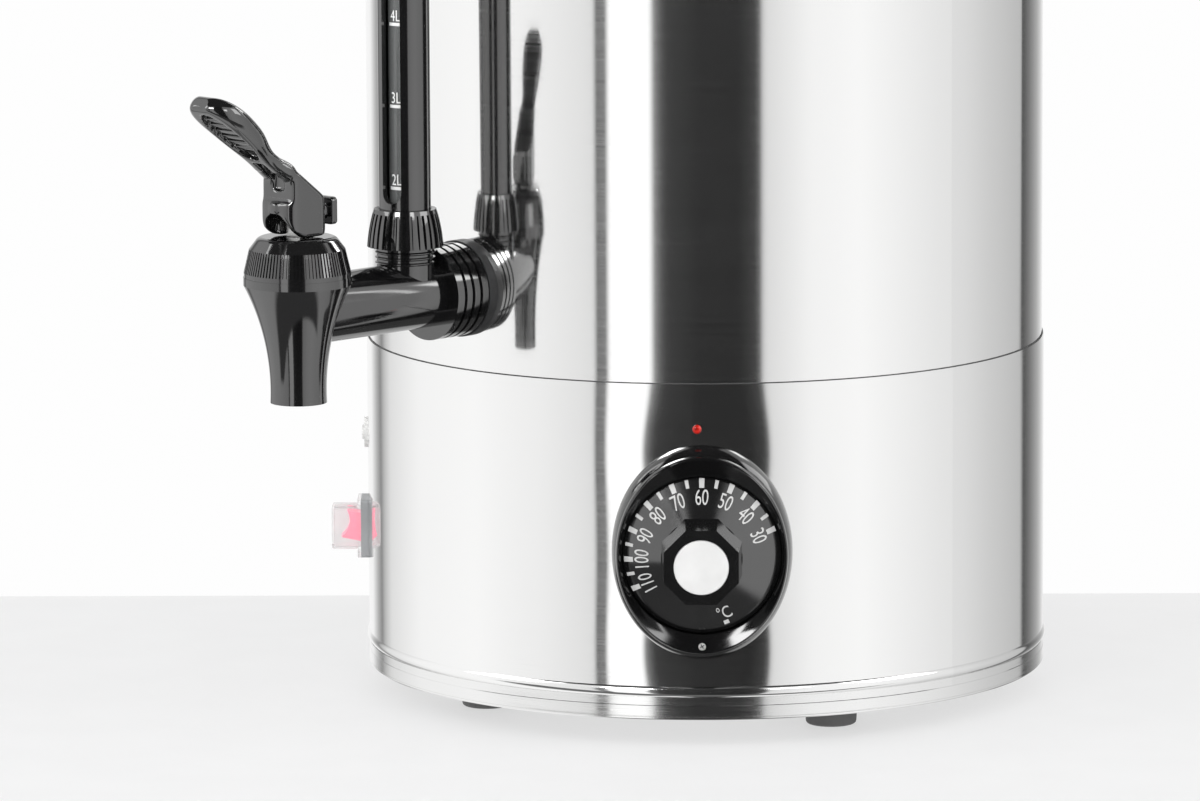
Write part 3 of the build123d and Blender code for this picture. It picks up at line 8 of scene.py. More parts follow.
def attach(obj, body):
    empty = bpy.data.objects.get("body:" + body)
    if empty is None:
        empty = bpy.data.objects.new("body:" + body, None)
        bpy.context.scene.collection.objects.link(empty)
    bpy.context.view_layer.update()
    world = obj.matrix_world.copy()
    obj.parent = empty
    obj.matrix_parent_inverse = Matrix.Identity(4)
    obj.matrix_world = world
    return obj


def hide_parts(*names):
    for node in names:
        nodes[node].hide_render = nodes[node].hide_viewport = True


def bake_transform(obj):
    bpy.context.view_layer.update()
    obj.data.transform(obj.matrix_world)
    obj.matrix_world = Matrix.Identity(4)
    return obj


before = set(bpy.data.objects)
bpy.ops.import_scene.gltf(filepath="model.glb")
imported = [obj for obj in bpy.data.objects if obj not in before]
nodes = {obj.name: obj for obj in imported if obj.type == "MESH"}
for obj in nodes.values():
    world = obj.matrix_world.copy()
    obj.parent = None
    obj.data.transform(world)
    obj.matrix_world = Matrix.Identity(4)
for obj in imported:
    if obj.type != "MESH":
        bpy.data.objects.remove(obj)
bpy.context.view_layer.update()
scene = bpy.context.scene

# Camera: a long lens high in front and to the right of the tap, looking a little down.
# Its turn, tilt and roll are those that put the seam, the base and the tap where they stand.
# Azimuths are counted from the tap towards +X.
MM = 0.001
UP = Vector((0, 0, 1))
BODY_RADIUS, SEAM_HEIGHT = 120 * MM, 127 * MM
VIEW_AZIMUTH = 44.6
LENS, SENSOR_WIDTH, CLIP_END = 264.03, 36, 50
PAN, TILT, ROLL = radians(-0.695), radians(9.243), radians(-0.285)
CAMERA_REACH, CAMERA_RISE = 25.862 * BODY_RADIUS, 4.0 * BODY_RADIUS


def facing(azimuth):
    """The outward, rightward and upward directions at an azimuth of the wall."""
    turn = radians(azimuth)
    return Vector((sin(turn), -cos(turn), 0)), Vector((cos(turn), sin(turn), 0)), UP


camera_data = bpy.data.cameras.new("camera")
camera_data.sensor_fit = "HORIZONTAL"
camera_data.sensor_width = SENSOR_WIDTH
camera_data.lens = LENS
camera_data.clip_end = CLIP_END
camera = bpy.data.objects.new("camera", camera_data)
scene.collection.objects.link(camera)
scene.camera = camera
toward, rightward, _ = facing(VIEW_AZIMUTH)
forward = (rightward * sin(PAN) - toward * cos(PAN)) * cos(TILT) - UP * sin(TILT)
level_right = forward.cross(UP).normalized()
level_up = level_right.cross(forward)
right_axis = level_right * cos(ROLL) + level_up * sin(ROLL)
up_axis = level_up * cos(ROLL) - level_right * sin(ROLL)
camera_place = Matrix((right_axis, up_axis, -forward)).transposed().to_4x4()
camera_place.translation = toward * CAMERA_REACH + UP * (SEAM_HEIGHT + CAMERA_RISE)
camera.matrix_world = camera_place

scene.view_settings.view_transform = "Standard"

# Studio: a pale sweep of light all round with dark gaps, as the polished wall mirrors it.
# A wide gap stands behind the camera, a narrow one to its left and two beyond the wall's edges.
# Two bright panels hang in front, and bearings are in degrees to the right of the camera.
BAND_LEVELS = (
    (-180, 0.96), (-160, 0.93), (-151, 0.46), (-146, 0.24), (-143, 0.48), (-136, 0.77), (-114, 0.96),
    (-85, 1.0), (-58, 0.91), (-37.9, 0.78), (-37.2, 0.03), (-35.5, 0.25), (-34.3, 0.03), (-32.9, 0.30),
    (-32.3, 1.15), (-18.6, 1.2), (-16.8, 0.18), (-13.5, 0.04), (-2, 0.018), (11, 0.016), (17, 0.04),
    (19, 0.15), (19.8, 0.74), (36, 0.95), (54, 1.0), (87, 0.83), (112, 0.645), (135.5, 0.52),
    (138, 0.07), (145, 0.19), (156, 0.42), (172, 0.9))
CEILING_EDGE, CEILING_GREY = ((0.69, 0.0), (0.715, 1.0)), (0.05, 0.05, 0.05)
BENCH_RIGHT, BENCH_TOWARD, BENCH_UP = -0.23, -0.67, -0.67
BENCH_EDGE, BENCH_GREY = ((0.0, 0.0), (0.04, 1.0)), (0.14, 0.14, 0.14)
BENCH_DROP, BENCH_FRONT = ((0.22, 0.0), (0.27, 1.0)), ((0.2, 0.0), (0.3, 1.0))
PANELS = ((-35, -19, 0.39, 0.55, 14.0), (22, 34, 0.37, 0.48, 5.0))
PANEL_SIDE_FADE, PANEL_LOW_FADE, PANEL_HIGH_FADE = 2, 0.03, 0.04
HORIZON_FADE = ((0.02, 1.0), (0.22, 0.0))
HIGH_LIGHT, LOW_LIGHT = ((0.0, 0.4), (1.0, 1.5)), ((0.4, 0.4), (1.0, 4.5))
BACKDROP_WHITE = (0.99, 0.99, 0.99)


def link(tree, start, end):
    """Joins two sockets of a node tree."""
    tree.links.new(start, end)


def math_node(tree, operation, *values):
    """A math node whose inputs are sockets or numbers, and its output."""
    node = tree.nodes.new("ShaderNodeMath")
    node.operation = operation
    for socket, value in zip(node.inputs, values):
        if isinstance(value, (int, float)):
            socket.default_value = value
        else:
            link(tree, value, socket)
    return node.outputs[0]


def ramp(tree, share, stops):
    """A colour ramp through (place, grey or colour) stops, and its output."""
    node = tree.nodes.new("ShaderNodeValToRGB")
    elements = node.color_ramp.elements
    while len(elements) < len(stops):
        elements.new(0.5)
    for element, (where, value) in zip(elements, stops):
        element.position = where
        colour = value if isinstance(value, tuple) else (value, value, value)
        element.color = (*colour, 1)
    link(tree, share, node.inputs["Fac"])
    return node.outputs["Color"]


def mix_colours(tree, share, first, second):
    """A blend between two colours, each a socket or a triple, and its output."""
    node = tree.nodes.new("ShaderNodeMix")
    node.data_type = "RGBA"
    link(tree, share, node.inputs[0])
    for socket, value in ((node.inputs[6], first), (node.inputs[7], second)):
        if isinstance(value, tuple):
            socket.default_value = (*value, 1)
        else:
            link(tree, value, socket)
    return node.outputs[2]


world = bpy.data.worlds.new("studio")
scene.world = world
world.use_nodes = True
sky = world.node_tree
sky.nodes.clear()
ray_direction = sky.nodes.new("ShaderNodeTexCoord").outputs["Generated"]


def along(direction):
    """How far the ray's direction points along a fixed direction."""
    node = sky.nodes.new("ShaderNodeVectorMath")
    node.operation = "DOT_PRODUCT"
    link(sky, ray_direction, node.inputs[0])
    node.inputs[1].default_value = direction
    return node.outputs["Value"]


def bearing(angle):
    """The place of a bearing in degrees on a ramp that runs once round the studio."""
    return angle / 360 + 0.5


ray_turn = math_node(sky, "ARCTAN2", along(rightward), along(toward))
turn_share = math_node(sky, "ADD", math_node(sky, "MULTIPLY", ray_turn, 1 / (2 * pi)), 0.5)
rise = along(UP)
bands = ramp(sky, turn_share, [(bearing(angle), level) for angle, level in BAND_LEVELS])
mirrored = mix_colours(sky, ramp(sky, rise, CEILING_EDGE), bands, CEILING_GREY)
bench_side = ramp(sky, along(rightward * BENCH_RIGHT + toward * BENCH_TOWARD + UP * BENCH_UP), BENCH_EDGE)
bench_drop = ramp(sky, math_node(sky, "MULTIPLY", rise, -1.0), BENCH_DROP)
bench_front = math_node(sky, "MULTIPLY", bench_drop, ramp(sky, along(toward), BENCH_FRONT))
mirrored = mix_colours(sky, math_node(sky, "MULTIPLY", bench_side, bench_front), mirrored, BENCH_GREY)
for left, right, low, high, level in PANELS:
    panel_width = ramp(sky, turn_share, (
        (bearing(left - PANEL_SIDE_FADE), 0.0), (bearing(left), 1.0),
        (bearing(right), 1.0), (bearing(right + PANEL_SIDE_FADE), 0.0)))
    panel_height = ramp(sky, rise, (
        (low - PANEL_LOW_FADE, 0.0), (low, 1.0), (high, 1.0), (high + PANEL_HIGH_FADE, 0.0)))
    panel = math_node(sky, "MULTIPLY", panel_width, panel_height)
    mirrored = mix_colours(sky, panel, mirrored, (level, level, level))
front_share = math_node(sky, "ADD", math_node(sky, "MULTIPLY", along(toward), 0.5), 0.5)
soft = mix_colours(sky, ramp(sky, rise, HORIZON_FADE),
                   ramp(sky, front_share, HIGH_LIGHT), ramp(sky, front_share, LOW_LIGHT))
rays = sky.nodes.new("ShaderNodeLightPath")
lit = mix_colours(sky, rays.outputs["Is Glossy Ray"], soft, mirrored)
seen = mix_colours(sky, rays.outputs["Is Camera Ray"], lit, BACKDROP_WHITE)
background = sky.nodes.new("ShaderNodeBackground")
background.inputs["Strength"].default_value = 1.0
link(sky, seen, background.inputs["Color"])
sky_output = sky.nodes.new("ShaderNodeOutputWorld")
link(sky, background.outputs["Background"], sky_output.inputs["Surface"])


def area_light(name, azimuth, height, distance, size, energy):
    """A square soft light aimed at the middle of the seam."""
    data = bpy.data.lights.new(name, "AREA")
    data.size = size
    data.energy = energy
    lamp = bpy.data.objects.new(name, data)
    scene.collection.objects.link(lamp)
    stand = facing(azimuth)[0] * distance + UP * height
    lamp.matrix_world = (UP * SEAM_HEIGHT - stand).to_track_quat("-Z", "Y").to_matrix().to_4x4()
    lamp.matrix_world.translation = stand


area_light("left_soft", VIEW_AZIMUTH - 75, height=1.1, distance=1.6, size=0.9, energy=6)
area_light("right_soft", VIEW_AZIMUTH + 70, height=1.0, distance=1.6, size=0.9, energy=6)

# Floor: a matt white worktop whose far edge passes behind the body, with the backdrop beyond it.
# It is lit from below, so that it takes only a faint shadow.
# The wall mirrors the studio's light alone, so the worktop is kept out of glossy reflections.
FLOOR_HALF, FLOOR_BACK = 4.0, 0.169


def finish(name, colour, rough, metallic=0.0, ior=1.5):
    """A new material with one shader: the material, its tree and the shader."""
    material = bpy.data.materials.new(name)
    material.use_nodes = True
    tree = material.node_tree
    shader = tree.nodes["Principled BSDF"]
    shader.inputs["Base Color"].default_value = (*colour, 1)
    shader.inputs["Roughness"].default_value = rough
    shader.inputs["Metallic"].default_value = metallic
    shader.inputs["IOR"].default_value = ior
    return material, tree, shader


def noise(tree, density, detail):
    """Noise of a density in features per metre, alike or given for each axis, and its output."""
    coordinate = tree.nodes.new("ShaderNodeTexCoord")
    mapping = tree.nodes.new("ShaderNodeMapping")
    mapping.inputs["Scale"].default_value = density if isinstance(density, tuple) else (density,) * 3
    link(tree, coordinate.outputs["Object"], mapping.inputs["Vector"])
    node = tree.nodes.new("ShaderNodeTexNoise")
    node.inputs["Scale"].default_value = 1.0
    node.inputs["Detail"].default_value = detail
    link(tree, mapping.outputs["Vector"], node.inputs["Vector"])
    return node.outputs["Fac"]


def vary(tree, shader, socket, share, low, high):
    """Lets a shader socket vary between two greys, or two colours, with a noise."""
    link(tree, ramp(tree, share, ((0.35, low), (0.65, high))), shader.inputs[socket])


worktop, tree, shader = finish("worktop", (0.28, 0.28, 0.282), rough=0.7)
vary(tree, shader, "Base Color", noise(tree, density=30, detail=3.0),
     low=(0.275, 0.275, 0.277), high=(0.285, 0.285, 0.287))
shader.inputs["Emission Color"].default_value = (1.0, 1.0, 1.0, 1)
shader.inputs["Emission Strength"].default_value = 0.57
sheet = bmesh.new()
for corner in bmesh.ops.create_grid(sheet, x_segments=1, y_segments=1, size=1.0)["verts"]:
    depth = FLOOR_BACK if corner.co.y > 0 else -FLOOR_HALF
    corner.co = rightward * (corner.co.x * FLOOR_HALF) - toward * depth
floor_mesh = bpy.data.meshes.new("floor")
sheet.to_mesh(floor_mesh)
sheet.free()
floor_mesh.materials.append(worktop)
floor = bpy.data.objects.new("floor", floor_mesh)
scene.collection.objects.link(floor)
floor.visible_glossy = False

# Feet: four moulded rubber cups, each with a dished underside and a steel screw up into the pan.
# The rubber is grey with a fine matt bloom, and the screws are plated.


def relief(tree, shader, height, depth):
    """Fine relief of a depth in metres from a height socket."""
    node = tree.nodes.new("ShaderNodeBump")
    node.inputs["Strength"].default_value = 1.0
    node.inputs["Distance"].default_value = depth
    link(tree, height, node.inputs["Height"])
    link(tree, node.outputs["Normal"], shader.inputs["Normal"])


def moulding(name, colour, rough, grain, depth, ior=1.5):
    """Moulded plastic or rubber: a fine tooled grain and a slightly uneven gloss."""
    material, tree, shader = finish(name, colour, rough, ior=ior)
    vary(tree, shader, "Roughness", noise(tree, density=90, detail=4.0), low=rough * 0.8, high=rough * 1.25)
    shade = tuple(channel * 0.85 for channel in colour)
    vary(tree, shader, "Base Color", noise(tree, density=60, detail=3.0), low=shade, high=colour)
    relief(tree, shader, noise(tree, density=grain, detail=2.0), depth)
    return material


def steel(name, colour, smooth, scored, grain, swell):
    """Metal sheet or wire: fine scoring round it, whose lines are rougher, and a faint swell."""
    material, tree, shader = finish(name, colour, smooth, metallic=1.0)
    vary(tree, shader, "Roughness", noise(tree, density=(30, 30, grain), detail=4.0), smooth, scored)
    vary(tree, shader, "Metallic", noise(tree, density=(14, 14, grain * 0.8), detail=5.0), 0.99, 1.0)
    relief(tree, shader, noise(tree, density=(7, 7, 4), detail=1.0), swell)
    return material


def dress(material, *names):
    """Gives CAD nodes a finish, in place of every material slot that they have."""
    for name in names:
        mesh = nodes[name].data
        mesh.materials.clear()
        mesh.materials.append(material)


rubber = moulding("foot_rubber", (0.10, 0.10, 0.10), rough=0.62, grain=1500, depth=0.08 * MM)
fixing = steel("fixing_steel", (0.70, 0.70, 0.69), smooth=0.18, scored=0.34, grain=900, swell=0.05 * MM)
dress(rubber, "feet")
dress(fixing, "foot_screws")

# Base pan: a deep-drawn stainless pan that closes the base from below, with a stepped skirt.
# A tie rod pulls it up against the heater plate, and one nut holds it.
# The skirt's lower edge is rolled to a hem, given here by its radii and heights.
AXIS = Vector((0, 0, 0))
HEM_SECTION = (
    (119.4, 9.8), (120.3, 9.5), (120.62, 9.6), (120.78, 9.9), (120.78, 10.4), (120.6, 10.5),
    (120.6, 10.7), (120.78, 10.8), (120.78, 14.4), (120.6, 14.6), (119.4, 14.6))
HEM_STEPS, HEM_CREASE = 384, radians(20)


def ring(form, centre, section, steps):
    """Spins a closed section of radii and heights in mm about an upright axis."""
    corners = [form.verts.new(centre + Vector((radius, 0, height)) * MM) for radius, height in section]
    sides = [form.edges.new(pair) for pair in zip(corners, corners[1:] + corners[:1])]
    bmesh.ops.spin(form, geom=corners + sides, cent=centre, axis=UP, steps=steps, angle=2 * pi,
                   use_merge=True)


def formed(name, form, material):
    """Turns a finished bmesh into an object with a finish and a slot."""
    mesh = bpy.data.meshes.new(name)
    bmesh.ops.recalc_face_normals(form, faces=form.faces)
    form.to_mesh(mesh)
    form.free()
    mesh.materials.append(material)
    obj = bpy.data.objects.new(name, mesh)
    scene.collection.objects.link(obj)
    return obj


def piece(name, form, material, body):
    """Turns a finished bmesh into a piece that rides on a body."""
    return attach(formed(name, form, material), body)


pan_steel = steel("pan_steel", (0.88, 0.88, 0.875), smooth=0.05, scored=0.18, grain=9000, swell=0.1 * MM)
dress(pan_steel, "base_pan")
dress(fixing, "tie_rod", "tie_nut")
hem = bmesh.new()
ring(hem, AXIS, HEM_SECTION, HEM_STEPS)
pan_hem = piece("pan_hem", hem, pan_steel, "dispenser")
pan_hem.data.shade_smooth()
pan_hem.data.set_sharp_from_angle(angle=HEM_CREASE)

# Base shell: a rolled and polished stainless drum with a rounded bead above the skirt.
# Its mirror finish carries only a hair of circumferential grain.
# Above and below the dial's hole the sheet is pulled slightly flat.
DIAL_AZIMUTH, DIAL_HEIGHT = 44.0, 68.5
POLISHED_SWELL = 0.12 * MM
FLAT_OFFSET, FLAT_SPREAD, FLAT_DEPTH = 34 * MM, 19 * MM, 0.8 * MM
dial_out, dial_right, dial_up = facing(DIAL_AZIMUTH)
polished = steel("polished_steel", (0.93, 0.93, 0.925), smooth=0.02, scored=0.12, grain=16000,
                 swell=POLISHED_SWELL)
base_steel = polished.copy()
base_steel.name = "base_steel"
tree = base_steel.node_tree
wall_height = tree.nodes["Bump"].inputs["Height"]
swell = wall_height.links[0].from_socket
wall_spot = tree.nodes.new("ShaderNodeTexCoord").outputs["Object"]
flats = 0.0
for offset in (FLAT_OFFSET, -FLAT_OFFSET):
    distance = tree.nodes.new("ShaderNodeVectorMath")
    distance.operation = "DISTANCE"
    link(tree, wall_spot, distance.inputs[0])
    distance.inputs[1].default_value = dial_out * BODY_RADIUS + UP * (DIAL_HEIGHT * MM + offset)
    spread = math_node(tree, "DIVIDE", distance.outputs["Value"], FLAT_SPREAD)
    falling = math_node(tree, "MULTIPLY", math_node(tree, "POWER", spread, 2.0), -1.0)
    dip = math_node(tree, "MULTIPLY", math_node(tree, "EXPONENT", falling), FLAT_DEPTH / POLISHED_SWELL)
    flats = math_node(tree, "SUBTRACT", flats, dip)
link(tree, math_node(tree, "ADD", swell, flats), wall_height)
dress(base_steel, "base_shell")

# Cable entry: a ribbed plastic gland at the back with its nut, and the terminal block inside.
# All three are plain dark mouldings with a dull surface.
dark_moulding = moulding("inner_plastic", (0.05, 0.05, 0.053), rough=0.5, grain=900, depth=0.05 * MM)
dress(dark_moulding, "terminal_block", "cable_gland", "gland_nut")

# Switch: a grey frame snapped into the wall, with a translucent red rocker that has a painted glow.
# A soft clear boot covers the rocker, is clamped by its flange and is slightly frosted by use.


def clear(name, colour, rough, ior, cloud, pass_share, ripple):
    """Clear moulding or tube: it lets a share of the light through, with a slight cloudiness."""
    material, tree, shader = finish(name, colour, rough, ior=ior)
    shader.inputs["Transmission Weight"].default_value = pass_share
    vary(tree, shader, "Roughness", noise(tree, density=120, detail=3.0), low=rough, high=rough + cloud)
    relief(tree, shader, noise(tree, density=45, detail=1.0), ripple)
    return material


grey_frame = moulding("frame_grey", (0.36, 0.37, 0.38), rough=0.42, grain=1300, depth=0.03 * MM)
dress(grey_frame, "switch_frame")
red_rocker, tree, shader = finish("rocker_red", (0.95, 0.18, 0.30), rough=0.25)
vary(tree, shader, "Base Color", noise(tree, density=180, detail=3.0),
     low=(0.92, 0.16, 0.27), high=(1.0, 0.24, 0.36))
shader.inputs["Subsurface Weight"].default_value = 0.2
shader.inputs["Subsurface Radius"].default_value = (4 * MM, 1 * MM, 1 * MM)
shader.inputs["Subsurface Scale"].default_value = 1.0
# Painted glow: the rocker's emission brightens its red, though no lamp lights it.
shader.inputs["Emission Color"].default_value = (1.0, 0.10, 0.24, 1)
shader.inputs["Emission Strength"].default_value = 0.6
relief(tree, shader, noise(tree, density=1800, detail=2.0), depth=0.02 * MM)
dress(red_rocker, "rocker")
boot_clear = clear("boot_clear", (0.94, 0.94, 0.94), rough=0.05, ior=1.04, cloud=0.04, pass_share=0.82,
                   ripple=0.01 * MM)
dress(boot_clear, "switch_boot")

# Boil-dry cut-out: a limiter behind the wall with a pale flanged collar and reset button.
# Both are plain mouldings, and the collar's bush is drawn up from inside.
dress(dark_moulding, "cutout_body")
reset_white = moulding("reset_white", (0.76, 0.76, 0.75), rough=0.3, grain=1200, depth=0.02 * MM)
dress(reset_white, "reset_collar", "reset_button")

# Thermostat: the housing and its copper bulb sit inside, and a steel spindle comes through the wall.
# An oval bezel covers the hole: a high-gloss black moulding held by one screw below the dial.
dress(dark_moulding, "thermostat_body")
copper = steel("bulb_copper", (0.78, 0.45, 0.28), smooth=0.2, scored=0.35, grain=700, swell=0.05 * MM)
dress(copper, "thermostat_bulb")
dress(fixing, "thermostat_spindle")
bezel_black = moulding("bezel_plastic", (0.005, 0.005, 0.0052), rough=0.1, grain=2200, depth=0.004 * MM,
                       ior=1.7)
dress(bezel_black, "thermostat_bezel")

# Bezel rim: the crest of the bezel, dished down to the dial all the way round.
# It is one moulding with the bezel, and the screw's head sits in its lower slope.
# Each loop has its half width, half height and reach from the urn's axis.
RIM_LOOPS = (
    (29.75, 34.7, 126.9), (29.5, 34.4, 128.3), (29.3, 34.15, 128.9), (29.05, 33.8, 129.15),
    (28.75, 33.35, 129.05), (28.15, 30.4, 127.75), (27.75, 27.75, 127.05), (27.75, 27.75, 126.9))
RIM_STEPS, RIM_CREASE = 192, radians(50)


def on_dial(x, y, reach):
    """The point x mm right and y mm above the dial's middle, at a reach from the urn's axis in mm."""
    return (dial_out * reach + dial_right * x + dial_up * (y + DIAL_HEIGHT)) * MM


rim = bmesh.new()
loops = []
for half_width, half_height, reach in RIM_LOOPS:
    circle = bmesh.ops.create_circle(rim, segments=RIM_STEPS, radius=1.0)["verts"]
    loops.append(list({edge for vertex in circle for edge in vertex.link_edges}))
    for vertex in circle:
        vertex.co = on_dial(vertex.co.x * half_width, vertex.co.y * half_height, reach)
for first, second in zip(loops, loops[1:] + loops[:1]):
    bmesh.ops.bridge_loops(rim, edges=first + second)
bezel_rim = piece("bezel_rim", rim, bezel_black, "dispenser")
bezel_rim.data.shade_smooth()
bezel_rim.data.set_sharp_from_angle(angle=RIM_CREASE)

# Dial: a glossy black cone with a faceted grip, pushed on the thermostat's spindle.
# Temperatures and ticks are pad-printed on the cone, sixty at the top, reading outwards.
# Sizes of the print are in mm, and turns in degrees clockwise from the top.
CONE_FOOT, CONE_HEAD = 27.2, 14.0
CONE_FOOT_REACH, CONE_HEAD_REACH = 125.75, 133.25
PRINT_LIFT = 0.12
TOP_FIGURE, FIGURES, TICK_GAP, TURN_PER_DEGREE = 60, range(30, 111, 10), 5, 2.32
FIGURE_RADIUS, FIGURE_HEIGHT, FIGURE_NARROWING = 20.8, 5.0, 0.68
TICK_RADIUS, LONG_TICK, SHORT_TICK = 25.3, (1.8, 3.1), (1.2, 2.7)
UNIT_TURN, UNIT_HEIGHT, UNIT_NARROWING = 159, 4.8, 0.74
OFF_TURN, OFF_RADIUS, OFF_TICK = 160, 24.55, (1.9, 1.5)


def on_cone(turn, radius):
    """The point of the cone at a turn in degrees clockwise from the top and a radius in mm."""
    climb = (CONE_FOOT - radius) / (CONE_FOOT - CONE_HEAD)
    reach = CONE_FOOT_REACH + climb * (CONE_HEAD_REACH - CONE_FOOT_REACH)
    angle = radians(turn)
    return on_dial(radius * sin(angle), radius * cos(angle), reach + PRINT_LIFT)


def printed_bar(form, width, height, lay):
    """Adds a flat printed bar to a bmesh, bent over the surface by lay."""
    for vertex in bmesh.ops.create_grid(form, x_segments=4, y_segments=2, size=0.5)["verts"]:
        vertex.co = lay(vertex.co.x * width, vertex.co.y * height)


def printed_text(form, text, height, narrowing, lay):
    """Adds flat lettering to a bmesh: lay puts it on the surface."""
    curve = bpy.data.curves.new("letters", "FONT")
    curve.body = text
    curve.align_x = "CENTER"
    curve.resolution_u = 4
    drawing = bpy.data.objects.new("letters", curve)
    scene.collection.objects.link(drawing)
    graph = bpy.context.evaluated_depsgraph_get()
    flat = bpy.data.meshes.new_from_object(drawing.evaluated_get(graph))
    low = min(vertex.co.y for vertex in flat.vertices)
    high = max(vertex.co.y for vertex in flat.vertices)
    scale = height / (high - low)
    before = len(form.verts)
    form.from_mesh(flat)
    form.verts.ensure_lookup_table()
    for vertex in form.verts[before:]:
        vertex.co = lay(vertex.co.x * scale * narrowing, (vertex.co.y - (low + high) / 2) * scale)
    bpy.data.objects.remove(drawing)
    bpy.data.curves.remove(curve)
    bpy.data.meshes.remove(flat)


def face_out(printed, out):
    """Turns the faces of a flat print that look into the surface."""
    form = bmesh.new()
    form.from_mesh(printed.data)
    bmesh.ops.reverse_faces(form, faces=[face for face in form.faces if face.normal.dot(out) < 0])
    form.to_mesh(printed.data)
    form.free()


dial_black = moulding("dial_plastic", (0.006, 0.006, 0.0062), rough=0.12, grain=2600, depth=0.006 * MM,
                      ior=2.15)
dress(dial_black, "thermostat_dial")
print_white = moulding("print_white", (0.60, 0.60, 0.595), rough=0.45, grain=3000, depth=0.004 * MM,
                       ior=1.45)
figures = bmesh.new()
for temperature in range(FIGURES[0], FIGURES[-1] + 1, TICK_GAP):
    turn = (TOP_FIGURE - temperature) * TURN_PER_DEGREE
    printed_bar(figures, *(LONG_TICK if temperature in FIGURES else SHORT_TICK),
                lambda x, y: on_cone(turn + degrees(x / TICK_RADIUS), TICK_RADIUS + y))
    if temperature in FIGURES:
        printed_text(figures, str(temperature), FIGURE_HEIGHT, FIGURE_NARROWING,
                     lambda x, y: on_cone(turn + degrees(x / FIGURE_RADIUS), FIGURE_RADIUS + y))
printed_text(figures, "°C", UNIT_HEIGHT, UNIT_NARROWING,
             lambda x, y: on_cone(UNIT_TURN - degrees(x / FIGURE_RADIUS), FIGURE_RADIUS - y))
printed_bar(figures, *OFF_TICK, lambda x, y: on_cone(OFF_TURN + degrees(x / TICK_RADIUS), OFF_RADIUS + y))
dial_print = piece("dial_print", figures, print_white, "dial")
face_out(dial_print, dial_out)

# Bezel screw: a small zinc-plated pan head in the rim's lower slope, turned from wire.
# Its cross recess is painted: a flat dark cross of painted shade, slightly proud of the head.
HEAD_DROP, HEAD_REACH, HEAD_LEAN = 31.8, 128.2, radians(25)
HEAD_FOOT, HEAD_TOP, HEAD_DEPTH, HEAD_STEPS = 1.4, 1.25, 1.5, 48
RECESS_TURNS, RECESS_LENGTH, RECESS_WIDTH = (30, 120), 1.7, 0.36
zinc = steel("screw_zinc", (0.60, 0.60, 0.59), smooth=0.42, scored=0.6, grain=2500, swell=0.1 * MM)
head_out = dial_out * cos(HEAD_LEAN) + dial_up * sin(HEAD_LEAN)
head_place = Matrix((dial_right, head_out.cross(dial_right), head_out)).transposed().to_4x4()
head_place.translation = on_dial(0, -HEAD_DROP, HEAD_REACH)
head = bmesh.new()
bmesh.ops.create_cone(head, cap_ends=True, segments=HEAD_STEPS, radius1=HEAD_FOOT * MM,
                      radius2=HEAD_TOP * MM, depth=HEAD_DEPTH * MM, matrix=head_place)
screw_head = piece("screw_head", head, zinc, "dispenser")
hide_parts("bezel_screw")
# Painted shade: two flat dark bars stand in for the shadowed cross recess.
recess = bmesh.new()
for lean in RECESS_TURNS:
    slot_turn = Matrix.Rotation(radians(lean), 4, "Z")
    printed_bar(recess, RECESS_LENGTH, RECESS_WIDTH, lambda x, y: head_place @ slot_turn @ (
        Vector((x, y, HEAD_DEPTH / 2 + PRINT_LIFT)) * MM))
recess_shade_cross = piece("recess_shade_cross", recess, dark_moulding, "dispenser")
face_out(recess_shade_cross, head_out)

# Dial cap: a white moulded disc snapped into the front of the grip, smooth and slightly domed.
# It hides the spindle's clamp.
white_cap = moulding("dial_cap_white", (0.72, 0.72, 0.715), rough=0.35, grain=1500, depth=0.01 * MM)
dress(white_cap, "dial_cap")

# Pilot light: a clear red lens, grained inside, snapped in its holder above the dial.
# It glows faintly, as a neon lamp does behind it.
red_lens, tree, shader = finish("lens_red", (0.75, 0.02, 0.02), rough=0.12)
vary(tree, shader, "Base Color", noise(tree, density=700, detail=2.0),
     low=(0.12, 0.003, 0.002), high=(0.55, 0.02, 0.012))
shader.inputs["Emission Color"].default_value = (1.0, 0.04, 0.02, 1)
shader.inputs["Emission Strength"].default_value = 0.03
relief(tree, shader, noise(tree, density=1500, detail=2.0), depth=0.05 * MM)
dress(red_lens, "pilot_lens")
dress(dark_moulding, "pilot_holder")

# Heater: a cast aluminium plate under the vessel, with the tubular element's ring pressed on it.
# The casting is dull and slightly pitted.
cast = moulding("cast_aluminium", (0.60, 0.61, 0.62), rough=0.5, grain=1400, depth=0.1 * MM)
cast.node_tree.nodes["Principled BSDF"].inputs["Metallic"].default_value = 0.9
dress(cast, "heater_plate")
dress(fixing, "heating_element")

# Inner vessel: a rolled stainless wall with a folded rim and a floor disc welded into its foot.
# It is satin-finished inside.
satin = steel("vessel_steel", (0.74, 0.74, 0.73), smooth=0.22, scored=0.36, grain=1800, swell=0.2 * MM)
dress(satin, "inner_vessel", "vessel_base")

# Upper shell: the polished wall over the jacket, dropped into the base's rolled edge.
# A thin dark ring of painted shadow lies in that seam all the way round, standing in for the gap's shade.
SEAM_SECTION = ((120.02, 127.0), (120.4, 127.02), (120.36, 127.2), (120.02, 127.34))
SEAM_STEPS = 192
dress(polished, "outer_shell")
# The ring's dark grey is painted shadow: it stands in for the shade in the gap between the shells.
seam_shadow_paint = moulding("seam_shadow_paint", (0.06, 0.06, 0.061), rough=0.5, grain=1500, depth=0.05 * MM)
seam = bmesh.new()
ring(seam, AXIS, SEAM_SECTION, SEAM_STEPS)
seam_shadow_ring = piece("seam_shadow_ring", seam, seam_shadow_paint, "dispenser")
seam_shadow_ring.data.shade_smooth()

